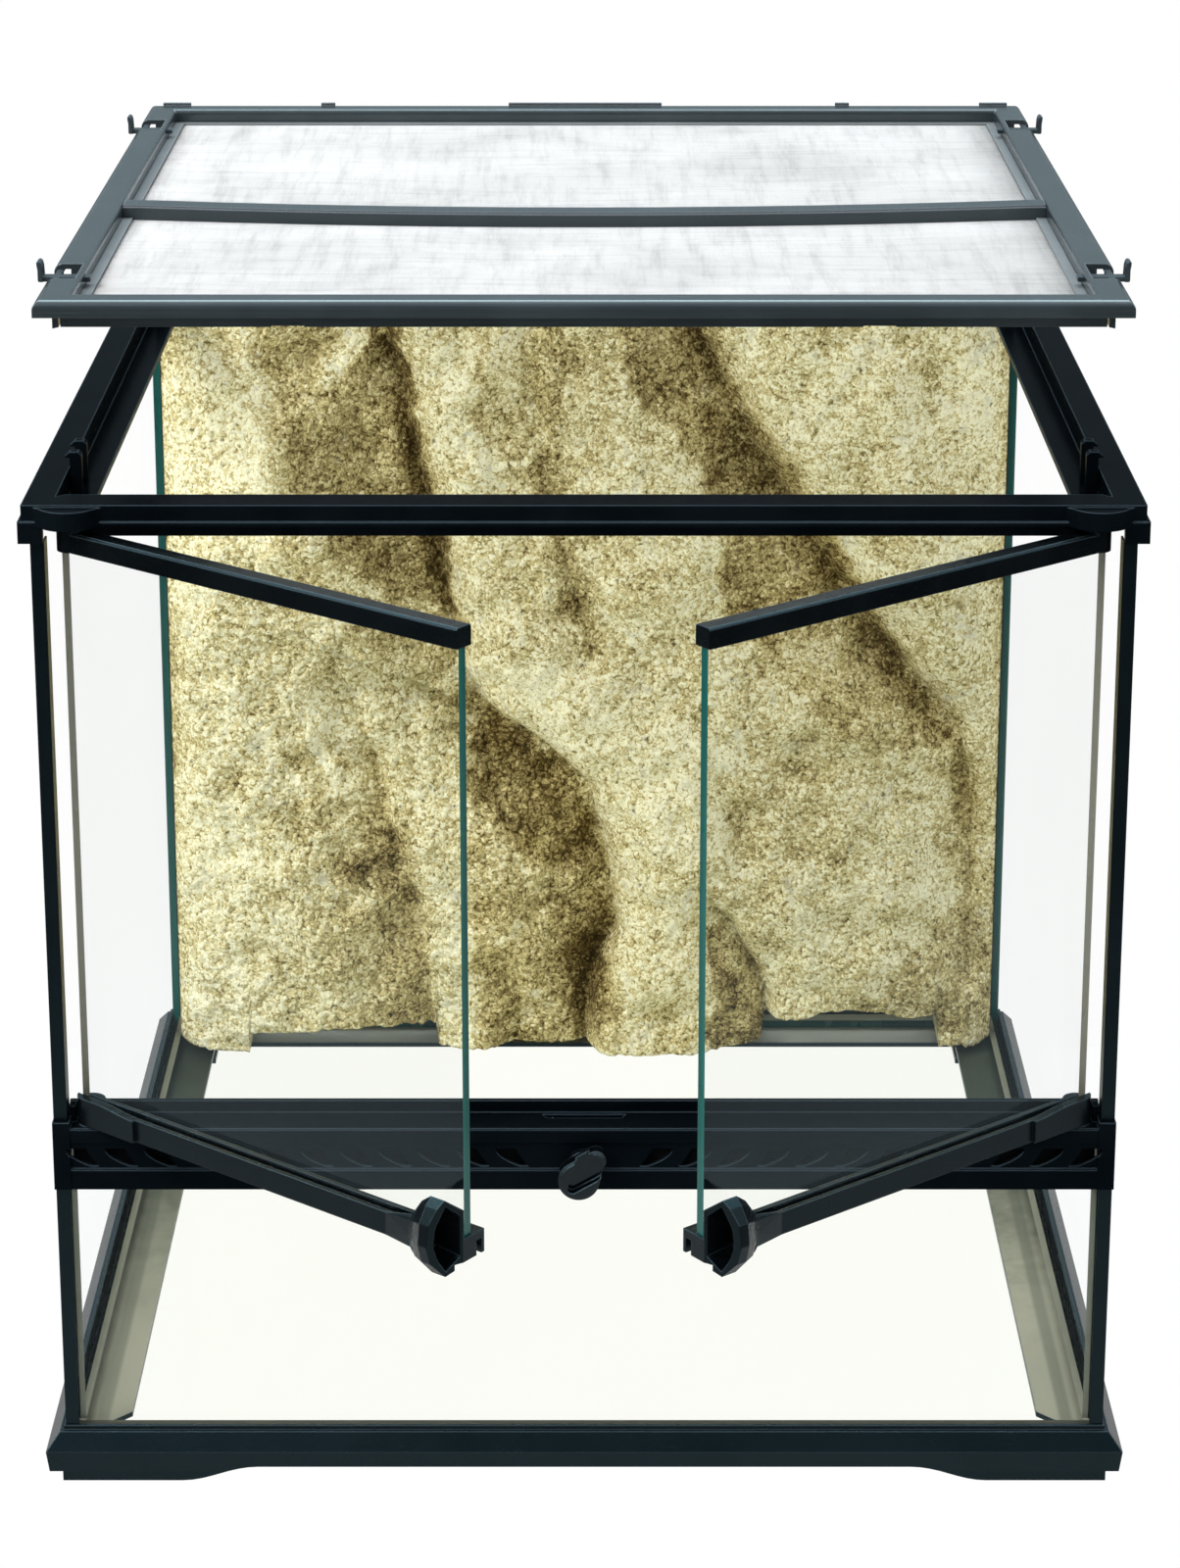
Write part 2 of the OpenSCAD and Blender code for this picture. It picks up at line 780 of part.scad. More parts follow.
module rock_background() {
    rows = 32;
    // it stands clear of the silicone in the tank's corners
    half = half_w - glass_t - seam_leg - fit;
    low = floor_top + fit;
    high = seat_z - seat_t - rock_top_gap;
    rear = back - glass_t - seam_leg - fit;
    // cable and hose cut-outs in the lower edge, as [from x, to x, height]
    outlets = [[-178, -80, 13], [96, 188, 20]];
    xs = concat(
        spread(-half, outlets[0][0] - 1, 4),
        spread(outlets[0][0], outlets[0][1], 8),
        spread(outlets[0][1] + 1, outlets[1][0] - 1, 13),
        spread(outlets[1][0], outlets[1][1], 7),
        spread(outlets[1][1] + 1, half, 3)
    );
    cols = len(xs) - 1;
    function foot_at(x) =
        x >= outlets[0][0] && x <= outlets[0][1] ? low + outlets[0][2]
        : x >= outlets[1][0] && x <= outlets[1][1] ? low + outlets[1][2]
        : low;
    points = concat(
        [for (r = [0:rows], x = xs)
            let (z = foot_at(x) + (high - foot_at(x)) * r / rows)
            [x, rear - rock_depth(x, z, half), z]],
        [for (x = xs) [x, rear, foot_at(x)]],
        [for (x = xs) [x, rear, high]]
    );
    function at(r, c) = r * (cols + 1) + c;
    // rows numbered on past the relief are the rear face's foot and top
    strips = concat(
        [for (r = [0:rows - 1]) [r, r + 1]],
        [[rows, rows + 2], [rows + 2, rows + 1], [rows + 1, 0]]
    );
    faces = concat(
        [for (s = strips, c = [0:cols - 1]) [at(s[0], c), at(s[1], c), at(s[1], c + 1)]],
        [for (s = strips, c = [0:cols - 1]) [at(s[0], c), at(s[1], c + 1), at(s[0], c + 1)]],
        [for (r = [0:rows - 1]) [at(rows + 1, 0), at(r + 1, 0), at(r, 0)]],
        [for (r = [0:rows - 1]) [at(rows + 1, cols), at(r, cols), at(r + 1, cols)]],
        [[at(rows + 1, 0), at(rows + 2, 0), at(rows, 0)],
         [at(rows + 1, cols), at(rows, cols), at(rows + 2, cols)]]
    );
    color([0.78, 0.74, 0.55])
        polyhedron(points, faces);
}

// ------------------------------------------------------------------ doors

// Swings what is drawn in the closed left door's place to its open angle
module opened() {
    translate([-hinge_x, hinge_y, 0])
        rotate([0, 0, -door_open])
            children();
}

// The door is drawn from its hinge axis: +X along the door, -Y outwards
module door_pane() {
    color([0.7, 0.85, 0.8, 0.4])
        opened()
            block([-pane_hinge_over, -glass_t / 2, door_pane_bottom],
                  [door_l - end_cap_t - 0.1, glass_t / 2, door_pane_top]);
}

module pane_slot(low, high) {
    block([-pane_hinge_over - 4, -glass_t / 2 - pane_fit, low],
          [door_l - end_cap_t, glass_t / 2 + pane_fit, high]);
}

module top_rail() {
    chamfer = 0.8;
    color([0.1, 0.12, 0.14])
        opened()
            difference() {
                union() {
                    rotate([90, 0, 90])
                        linear_extrude(door_l)
                            polygon([
                                [-rail_t / 2, door_top - top_rail_h],
                                [-rail_t / 2, door_top - chamfer],
                                [-rail_t / 2 + chamfer, door_top],
                                [rail_t / 2 - chamfer, door_top],
                                [rail_t / 2, door_top - chamfer],
                                [rail_t / 2, door_top - top_rail_h]
                            ]);
                    translate([0, 0, door_top - top_rail_h])
                        cylinder(r = hinge_end_r, h = top_rail_h + 3.1);
                }
                pane_slot(door_top - top_rail_h - cut, door_pane_top + pane_fit);
                translate([0, 0, top_pin_z])
                    cylinder(r = pin_r + press_fit, h = 20);
            }
}

// Shield-shaped section of the pull: flat towards the pane, full outwards.
// Grows from the rail's own section at s = 0 to the mouth at s = 1.
function pull_section(s, skin) =
    let (inner = rail_t / 2 - 0.9,
         outer = rail_t / 2 + s * (pull_proud - rail_t / 2),
         low = door_bottom - 4 * s,
         high = door_bottom + bottom_rail_h + 19 * s,
         mid = (inner + outer) / 2)
    [
        [-inner - skin, low + 3 * s + 2.4 * skin],
        [-mid, low + skin],
        [-outer + 2 * s + skin, low + 7 * s + skin],
        [-outer + skin, low + (high - low) * 0.45],
        [-outer + 1 * s + skin, high - 9 * s - skin],
        [-outer + 5 * s + skin, high - 3 * s - skin],
        [-mid, high - skin],
        [-inner - skin, high - 6.5 * s - skin]
    ];

module pull_slab(x, s, skin = 0) {
    translate([x, 0, 0])
        rotate([90, 0, 90])
            linear_extrude(0.2) polygon(pull_section(s, skin));
}

module pull() {
    mouth = door_l - 0.2;
    mouth_slant = 7;
    neck = 40;
    difference() {
        union() {
            hull() {
                pull_slab(mouth - neck, 0);
                pull_slab(mouth - neck * 0.62, 0.22);
            }
            hull() {
                pull_slab(mouth - neck * 0.62, 0.22);
                pull_slab(mouth - neck * 0.4, 0.75);
            }
            hull() {
                pull_slab(mouth - neck * 0.4, 0.75);
                pull_slab(mouth - neck * 0.24, 1);
            }
            hull() {
                pull_slab(mouth - neck * 0.24, 1);
                pull_slab(mouth, 1);
            }
        }
        // the hollow that fingers reach into from the door's free edge
        hull() {
            pull_slab(mouth - 13, 0.8, 2.4);
            pull_slab(mouth + cut, 1, 1.7);
        }
        // the mouth slants back from the pane
        translate([mouth, -rail_t / 2, door_bottom - 10])
            linear_extrude(60)
                polygon([[0, 0], [-mouth_slant, -pull_proud], [10, -pull_proud], [10, 0]]);
        // it hangs in front of the bar's face, and nowhere over its ledge
        block([mouth - neck, -hinge_in - bar_proud - 2 * fit, door_bottom - 10],
              [mouth + cut, 0, door_bottom]);
        // three-cornered pocket under the neck
        translate([mouth - 17, -pull_proud - cut, 0])
            rotate([-90, 0, 0])
                linear_extrude(pull_proud - 7)
                    polygon([[0, -door_bottom - 6], [0, -door_bottom + 0.2],
                             [-9, -door_bottom - 5]]);
    }
}

module bottom_rail() {
    top = door_bottom + bottom_rail_h;
    block_top = door_bottom + hinge_block_h;
    color([0.1, 0.12, 0.14])
        opened()
            difference() {
                union() {
                    block([0, -rail_t / 2, door_bottom], [door_l, rail_t / 2, top]);
                    translate([0, 0, door_bottom]) cylinder(r = hinge_end_r, h = bottom_rail_h);
                    // raised cheek at the hinge end, scooped down to the rail
                    intersection() {
                        translate([0, 0, door_bottom])
                            linear_extrude(hinge_block_h)
                                union() {
                                    circle(hinge_cheek);
                                    translate([0, -hinge_cheek])
                                        square([hinge_block_l, hinge_cheek]);
                                }
                        translate([0, 0, 0])
                            rotate([90, 0, 0])
                                linear_extrude(2 * hinge_cheek, center = true)
                                    polygon(concat(
                                        [[-hinge_cheek, door_bottom],
                                         [-hinge_cheek, block_top]],
                                        [for (i = [0:8])
                                            [8 + (hinge_block_l - 8) * i / 8,
                                             block_top - (block_top - top) * ease(i / 8)]],
                                        [[hinge_block_l, door_bottom]]
                                    ));
                    }
                    pull();
                    // catch behind the pane for the lock's cam
                    block([door_l - lip_l, rail_t / 2 - 1, top - 3.6],
                          [door_l, lip_front - hinge_y + lip_t, top]);
                    block([door_l - lip_l, lip_front - hinge_y, door_bottom],
                          [door_l, lip_front - hinge_y + lip_t, top]);
                }
                pane_slot(door_pane_bottom, block_top + cut);
                // above the rail the hinge end stays open behind the pane
                block([-hinge_cheek - cut, glass_t / 2, top],
                      [hinge_block_l + cut, hinge_cheek + cut, block_top + cut]);
                translate([0, 0, door_bottom - cut])
                    cylinder(r = pin_r + press_fit, h = rail_floor + cut);
            }
}

module top_pin() {
    color([0.7, 0.7, 0.72])
        opened()
            translate([0, 0, top_pin_z]) cylinder(r = pin_r, h = top_pin_l);
}

module bottom_pin() {
    color([0.7, 0.7, 0.72])
        opened()
            translate([0, 0, bottom_pin_z]) cylinder(r = pin_r, h = bottom_pin_l);
}

module left_door_glass() door_pane();
module left_top_rail() top_rail();
module left_bottom_rail() bottom_rail();
module left_top_pin() top_pin();
module left_bottom_pin() bottom_pin();
module right_door_glass() mirror([1, 0, 0]) door_pane();
module right_top_rail() mirror([1, 0, 0]) top_rail();
module right_bottom_rail() mirror([1, 0, 0]) bottom_rail();
module right_top_pin() mirror([1, 0, 0]) top_pin();
module right_bottom_pin() mirror([1, 0, 0]) bottom_pin();

// ------------------------------------------------------------------- lock

// Turns what is drawn upright about the lock's axis, +Y away from the front
module on_lock(angle) {
    translate([0, 0, lock_z])
        rotate([0, angle, 0])
            children();
}

// Tear-drop plan of the grip, upright, its narrow end up
module grip_plan(skin) {
    wide = 8.8;
    narrow = 4.4;
    hull() {
        translate([0, -grip_l / 2 + wide]) circle(wide - skin, $fn = 40);
        translate([0, grip_l / 2 - narrow]) circle(narrow - skin, $fn = 32);
    }
}

module lock_knob() {
    face = front - bar_proud - fit;
    color([0.03, 0.03, 0.04])
        on_lock(lock_tilt)
            difference() {
                union() {
                    translate([0, face, 0])
                        rotate([90, 0, 0]) cylinder(r = 7.5, h = 3);
                    translate([0, face - 2, 0])
                        rotate([90, 0, 0]) {
                            linear_extrude(grip_proud - 4) grip_plan(1);
                            translate([0, 0, 1.5])
                                linear_extrude(grip_proud - 6) grip_plan(0);
                        }
                }
                translate([0, face - grip_proud - cut + 2, 0])
                    rotate([-90, 0, 0])
                        linear_extrude(4 + cut) grip_plan(2.3);
                translate([0, face + cut, 0])
                    rotate([90, 0, 0])
                        cylinder(r = spindle_r + press_fit, h = knob_bore + cut);
            }
}

module lock_spindle() {
    color([0.5, 0.5, 0.52])
        on_lock(lock_tilt)
            translate([0, cam_front + cam_t + 1.6, 0])
                rotate([90, 0, 0])
                    cylinder(r = spindle_r,
                             h = cam_front + cam_t + 1.6 - front + bar_proud + knob_bore);
}

// Cam behind the bar: points up between the doors and their catches when the
// lock is turned on, and lies to the side of the spindle as drawn
module lock_cam() {
    color([0.55, 0.56, 0.58])
        on_lock(lock_tilt - 90)
            difference() {
                union() {
                    translate([0, cam_front + cam_t, 0])
                        rotate([90, 0, 0]) cylinder(r = 6.5, h = cam_t + 2);
                    translate([0, cam_front + cam_t, 0])
                        rotate([90, 0, 0])
                            linear_extrude(cam_t)
                                polygon([[-5.5, 0], [-cam_tip_half, cam_reach],
                                         [cam_tip_half, cam_reach], [5.5, 0]]);
                }
                translate([0, cam_front + cam_t + cut, 0])
                    rotate([90, 0, 0])
                        cylinder(r = spindle_r + press_fit, h = cam_t + 2 + 2 * cut);
            }
}

module lock_clip() {
    color([0.6, 0.6, 0.62])
        on_lock(lock_tilt)
            translate([0, cam_front + cam_t + 1.1, 0])
                rotate([90, 0, 0])
                    difference() {
                        cylinder(r = spindle_r + 2, h = 0.9);
                        translate([0, 0, -cut])
                            cylinder(r = spindle_r + press_fit, h = 0.9 + 2 * cut);
                        block([-1.2, 0, -cut], [1.2, 10, 2 + cut]);
                    }
}

// -------------------------------------------------------------------- lid

// Bull-nosed rail with the skirt that drops inside the rim and, inside it,
// the seat of the screen. The skirt stands skirt_at in from the lid's edge.
function lid_profile(skirt_at) = concat(
    [[0, 0], [0, lid_rail_h - 3.8]],
    arc([-3.8, lid_rail_h - 3.8], 3.8, 15, 90, 5),
    arc([-lid_rail_w + 2.4, lid_rail_h - 2.4], 2.4, 90, 165, 4),
    [[-lid_rail_w, lid_rail_h - 2.4],
     [-lid_rail_w, mesh_seat_z],
     [-lid_rail_w - mesh_seat_w, mesh_seat_z],
     [-lid_rail_w - mesh_seat_w, mesh_seat_z - mesh_seat_t],
     [-skirt_at - skirt_t, mesh_seat_z - mesh_seat_t],
     [-skirt_at - skirt_t, -skirt_drop],
     [-skirt_at, -skirt_drop],
     [-skirt_at, lid_rail_h - 2.4],
     [-2, lid_rail_h - 2.4],
     [-2, 0]]
);

module at_lid() {
    translate([0, 0, lid_z]) children();
}

module latch_notch() {
    edge = -lid_w / 2;
    block([edge - cut, latch_y - notch_l / 2, -skirt_drop - cut],
          [edge + notch_in, latch_y + notch_l / 2, lid_rail_h + cut]);
    block([edge + notch_in - cut, latch_y - latch_tail_w / 2 - fit, latch_z - fit],
          [edge + lid_rail_w + cut, latch_y + latch_tail_w / 2 + fit,
           latch_z + latch_t + fit]);
}

module lid_frame() {
    dip_r = 9;
    color([0.24, 0.27, 0.28])
        at_lid()
            difference() {
                union() {
                    mitred_ring(lid_w, lid_d, lid_profile(skirt_in), [1, 2, 3]);
                    mitred_ring(lid_w, lid_d, lid_profile(front_skirt_in), [0]);
                    // low tabs along the rear rail
                    for (t = rear_tabs)
                        block([t[0] - t[1] / 2, lid_d / 2 - 3.4, lid_rail_h - 2.5],
                              [t[0] + t[1] / 2, lid_d / 2 - 0.6, lid_rail_h + 1.2]);
                }
                mirrored_pair() {
                    latch_notch();
                    mirror([0, 1, 0]) latch_notch();
                    // shallow round dips in the front skirt's lower edge
                    translate([-lid_w * 0.27, -lid_d / 2 + 4, -skirt_drop - dip_r + 3.2])
                        rotate([-90, 0, 0]) cylinder(r = dip_r, h = 8);
                }
            }
}

// The crossbar bows down between the side rails' screen seats
function bow(x) = -crossbar_sag * max(0, 1 - pow(x / bow_half, 2));

// Places along the crossbar: its end, then the bowed length, then its end
function bow_places(half) = concat([-half], spread(-bow_half, bow_half, 12), [half]);

// Upright plate along X that follows the crossbar's bow
module bowed_strip(w, low, high) {
    xs = bow_places(crossbar_half - 0.05);
    translate([0, w / 2, 0])
        rotate([90, 0, 0])
            linear_extrude(w)
                polygon(concat(
                    [for (x = xs) [x, low + bow(x)]],
                    [for (x = xs) [-x, high + bow(x)]]
                ));
}

module lid_crossbar() {
    seat_low = mesh_seat_z - mesh_seat_t;
    seat_half = crossbar_half - mesh_seat_w;
    seats_w = crossbar_w + 2 * mesh_seat_w;
    deep = crossbar_sag + lid_rail_h;
    color([0.24, 0.27, 0.28])
        at_lid()
            translate([0, crossbar_y, 0])
                difference() {
                    union() {
                        bowed_strip(crossbar_w - 1.4, seat_low, lid_rail_h - 0.6);
                        bowed_strip(crossbar_w, seat_low, lid_rail_h - 1.5);
                        intersection() {
                            bowed_strip(seats_w, seat_low, mesh_seat_z);
                            block([-seat_half + fit, -seats_w, -deep],
                                  [seat_half - fit, seats_w, deep]);
                        }
                    }
                    // the mesh seats of the side rails pass under its ends
                    mirrored_pair()
                        block([seat_half - 0.05, -seats_w, -deep],
                              [crossbar_half + cut, seats_w, mesh_seat_z + 0.02]);
                }
}

// Edges of the openings between the bars of a grid that runs from a to b
function opening_edges(a, b, n) =
    let (bars = spread(a, b, n), r = sign(b - a) * screen_bar / 2)
    [for (i = [0:n - 1]) each [bars[i] + r, bars[i + 1] - r]];

// Screen between two straight edges, its crossbar edge following the bow,
// as a sheet with a plain grid of openings. y0 is the outer edge and y1 the
// edge on the crossbar.
module screen(y0, y1) {
    half = crossbar_half - 0.3;
    // flat over the rail's seat, then down to the crossbar
    inner = y0 + sign(y1 - y0) * mesh_seat_w;
    last = y1 - sign(y1 - y0) * mesh_seat_w;
    across = floor(abs(last - inner) * screen_holes / (2 * bow_half));
    xs = concat([-half, -bow_half],
                opening_edges(-bow_half, bow_half, screen_holes),
                [bow_half, half]);
    ys = concat([y0, inner], opening_edges(inner, last, across), [y1]);
    cols = len(xs) - 1;
    rows = len(ys) - 1;
    bend = [for (x = bow_places(half)) [x, bow(x)]];
    points = [for (layer = [0, 1], y = ys, x = xs)
        [x, y, mesh_seat_z + 0.02 + layer * screen_t
               + lookup(x, bend) * max(0, (y - inner) / (y1 - inner))]];
    function at(l, i, j) = (l * (rows + 1) + j) * (cols + 1) + i;
    function opening(k, cells) = k > 0 && k < cells - 1 && k % 2 == 0;
    function sheet(i, j) = i >= 0 && i < cols && j >= 0 && j < rows
                           && !(opening(i, cols) && opening(j, rows));
    function quad(a, b, c, d) = [[a, b, c], [a, c, d]];
    faces = [for (j = [0:rows - 1], i = [0:cols - 1]) if (sheet(i, j)) each concat(
        quad(at(0, i, j), at(0, i, j + 1), at(0, i + 1, j + 1), at(0, i + 1, j)),
        quad(at(1, i, j), at(1, i + 1, j), at(1, i + 1, j + 1), at(1, i, j + 1)),
        sheet(i, j - 1) ? []
            : quad(at(0, i, j), at(0, i + 1, j), at(1, i + 1, j), at(1, i, j)),
        sheet(i, j + 1) ? []
            : quad(at(1, i, j + 1), at(1, i + 1, j + 1), at(0, i + 1, j + 1),
                   at(0, i, j + 1)),
        sheet(i - 1, j) ? []
            : quad(at(1, i, j), at(1, i, j + 1), at(0, i, j + 1), at(0, i, j)),
        sheet(i + 1, j) ? []
            : quad(at(0, i + 1, j), at(0, i + 1, j + 1), at(1, i + 1, j + 1),
                   at(1, i + 1, j))
    )];
    color([0.85, 0.85, 0.84])
        at_lid()
            polyhedron(points, y1 > y0 ? faces : [for (f = faces) [f[2], f[1], f[0]]]);
}

screen_edge = lid_d / 2 - lid_rail_w - 0.3;
module front_mesh() screen(-screen_edge, crossbar_y - crossbar_w / 2 - 0.2);
module rear_mesh() screen(screen_edge, crossbar_y + crossbar_w / 2 + 0.2);

// Three-sided strip that holds a screen down along the lid's rails
module mesh_clamp(y0, y1) {
    high = mesh_seat_z + 0.04 + screen_t;
    out = crossbar_half - 0.1;
    strip = mesh_seat_w - 0.6;
    low_y = min(y0, y1);
    high_y = max(y0, y1);
    color([0.36, 0.39, 0.4])
        at_lid()
            difference() {
                block([-out, low_y, high], [out, high_y, high + clamp_t]);
                block([-out + strip, y0 < y1 ? low_y + strip : low_y - cut, high - cut],
                      [out - strip, y0 < y1 ? high_y + cut : high_y - strip,
                       high + clamp_t + cut]);
            }
}

module front_mesh_clamp() mesh_clamp(-screen_edge + 0.2, crossbar_y - crossbar_w / 2 - 0.3);
module rear_mesh_clamp() mesh_clamp(screen_edge - 0.2, crossbar_y + crossbar_w / 2 + 0.3);

// Sliding latch: a cross-shaped bolt with a finger tab, drawn released
module latch() {
    edge = -lid_w / 2;
    head = -prong_out - hook_out - 0.4;
    color([0.2, 0.22, 0.23])
        at_lid()
            translate([0, latch_y, latch_z]) {
                block([edge - 2.6, -latch_tail_w / 2, 0],
                      [edge + lid_rail_w + 2.6, latch_tail_w / 2, latch_t]);
                block([head - 2.4, -latch_head_w / 2, 0], [head, latch_head_w / 2, latch_t]);
                // finger tab, curled outwards at its top
                translate([edge - 2.6, latch_tail_w / 2 + 0.8, 0])
                    rotate([90, 0, 0])
                        linear_extrude(latch_tail_w + 1.6)
                            polygon([[-1.9, 0.6], [-1.5, 0], [0.2, 0], [0.2, latch_t],
                                     [0, 6.2], [-0.5, 8], [-1.4, 8.6], [-2.3, 8.2],
                                     [-2.2, 6.8], [-1.9, 5]]);
            }
}

module rear_left_latch() latch();
module rear_right_latch() mirror([1, 0, 0]) latch();
module front_left_latch() mirror([0, 1, 0]) latch();
module front_right_latch() mirror([1, 0, 0]) mirror([0, 1, 0]) latch();

// ------------------------------------------------------------------ output

base_frame();
floor_glass();
back_glass();
left_glass();
right_glass();
window_glass();
left_edge_trim();
right_edge_trim();
floor_seam();
corner_seams();
window_seams();
vent_bar();
vent_mesh();
vent_mesh_clip();
top_frame();
lid_catches();
rock_background();
left_door_glass();
left_top_rail();
left_bottom_rail();
left_top_pin();
left_bottom_pin();
right_door_glass();
right_top_rail();
right_bottom_rail();
right_top_pin();
right_bottom_pin();
lock_knob();
lock_spindle();
lock_cam();
lock_clip();
lid_frame();
lid_crossbar();
front_mesh();
rear_mesh();
front_mesh_clamp();
rear_mesh_clamp();
front_left_latch();
front_right_latch();
rear_left_latch();
rear_right_latch();
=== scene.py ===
"""A front-opening glass terrarium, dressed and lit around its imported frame."""

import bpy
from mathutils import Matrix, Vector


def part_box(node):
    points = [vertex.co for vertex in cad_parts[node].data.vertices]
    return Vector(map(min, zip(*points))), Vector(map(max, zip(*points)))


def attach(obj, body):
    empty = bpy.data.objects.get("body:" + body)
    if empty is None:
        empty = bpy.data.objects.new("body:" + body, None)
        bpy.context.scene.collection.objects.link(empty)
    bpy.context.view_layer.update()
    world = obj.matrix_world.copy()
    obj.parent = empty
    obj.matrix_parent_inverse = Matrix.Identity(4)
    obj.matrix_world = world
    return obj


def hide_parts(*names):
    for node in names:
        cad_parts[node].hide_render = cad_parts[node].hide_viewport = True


bl_info = {
    "name": "Glass Terrarium",
    "version": (1, 0, 0),
    "blender": (4, 5, 0),
    "location": "View3D > Sidebar > Terrarium",
    "description": "Dresses a front-opening glass terrarium and sets up its studio",
    "category": "Object",
}

import math

import bpy
import numpy as np

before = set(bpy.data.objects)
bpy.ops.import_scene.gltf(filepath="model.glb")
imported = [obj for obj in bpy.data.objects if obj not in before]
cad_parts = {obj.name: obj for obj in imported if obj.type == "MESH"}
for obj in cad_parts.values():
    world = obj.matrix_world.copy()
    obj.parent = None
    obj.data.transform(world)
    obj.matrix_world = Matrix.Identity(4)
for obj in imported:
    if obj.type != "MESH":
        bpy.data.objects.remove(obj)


def corners_of(box):
    """A box as two plain lists of three numbers."""
    return [[float(value) for value in corner] for corner in box]


def linear(red, green, blue):
    """A display colour of 0 to 255 a channel as scene-linear RGBA."""
    out = []
    for value in (red, green, blue):
        v = value / 255.0
        out.append(v / 12.92 if v <= 0.04045 else ((v + 0.055) / 1.055) ** 2.4)
    return (*out, 1.0)


def scaled(colour, by, plus=0.0):
    """A lighter or darker form of a colour."""
    return (*(min(1.0, c * by + plus) for c in colour[:3]), 1.0)


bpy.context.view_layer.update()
MM = 0.001
WHITE = (1.0, 1.0, 1.0, 1.0)
# How far the doors stand open at rest, which gives their panes' direction
DOOR_OPEN = math.radians(38.0)

# The plinth's ledge under the floor pane, dusty with painted glare and
# shade: half its size, a height just above it, the middle of the groove along
# each side, and where its part behind the rock wall, painted pale as if lit,
# starts and ends
LEDGE_HALF = 0.2225
LEDGE_TOP = 0.0175
LEDGE_GROOVE = 0.2125
LEDGE_BEHIND = 0.198
LEDGE_BEHIND_HALF = 0.204

# The vent's strip: thread spacing, half a thread's width and thickness, and
# the lock spindle's height with the hole round it
VENT_PITCH = 0.00075
VENT_HALF = 0.00033
VENT_THIN = 0.00012
SPINDLE_Z = 0.148
SPINDLE_HOLE = 0.0072

# Width of the lid rails' flat seats for the screens, and how far short of the
# screens' ends their bow stops
SEAT = 0.005
BOW_SHORT = 0.0057

# Most that each pane seen end-on mirrors, where the others mirror MIRROR_MOST
MIRROR_MOST = 0.5
CLEAR_PANES = {
    "left_glass": 0.012,
    "right_glass": 0.012,
    "floor_glass": 0.006,
    "window_glass": 0.01,
}


# ---------------------------------------------------------------------------
# Shader nodes as expressions


def through(operation):
    """A method of Wire that puts it and another value through a Math node."""

    def method(self, other):
        return self.math(operation, self, other)

    return method


class Wire:
    """A shader socket that adds Math nodes when it is used in arithmetic."""

    def __init__(self, paint, socket):
        self.paint = paint
        self.socket = socket

    def math(self, operation, *values, clamp=False):
        """Values through one Math node."""
        inputs = dict(enumerate(values))
        settings = {"operation": operation, "use_clamp": clamp}
        return self.paint.node("ShaderNodeMath", settings, inputs)

    __add__ = __radd__ = through("ADD")
    __sub__ = through("SUBTRACT")
    __mul__ = __rmul__ = through("MULTIPLY")
    __pow__ = through("POWER")
    least = through("MINIMUM")
    most = through("MAXIMUM")

    def __rsub__(self, other):
        return self.math("SUBTRACT", other, self)

    def __abs__(self):
        return self.math("ABSOLUTE", self)

    def clamped(self):
        """The value held between 0 and 1."""
        return self.math("ADD", self, 0.0, clamp=True)

    def step(self, low, high):
        """A smooth step from 0 at low to 1 at high."""
        inputs = {"Value": self, "From Min": low, "From Max": high}
        settings = {"interpolation_type": "SMOOTHSTEP"}
        return self.paint.node("ShaderNodeMapRange", settings, inputs)


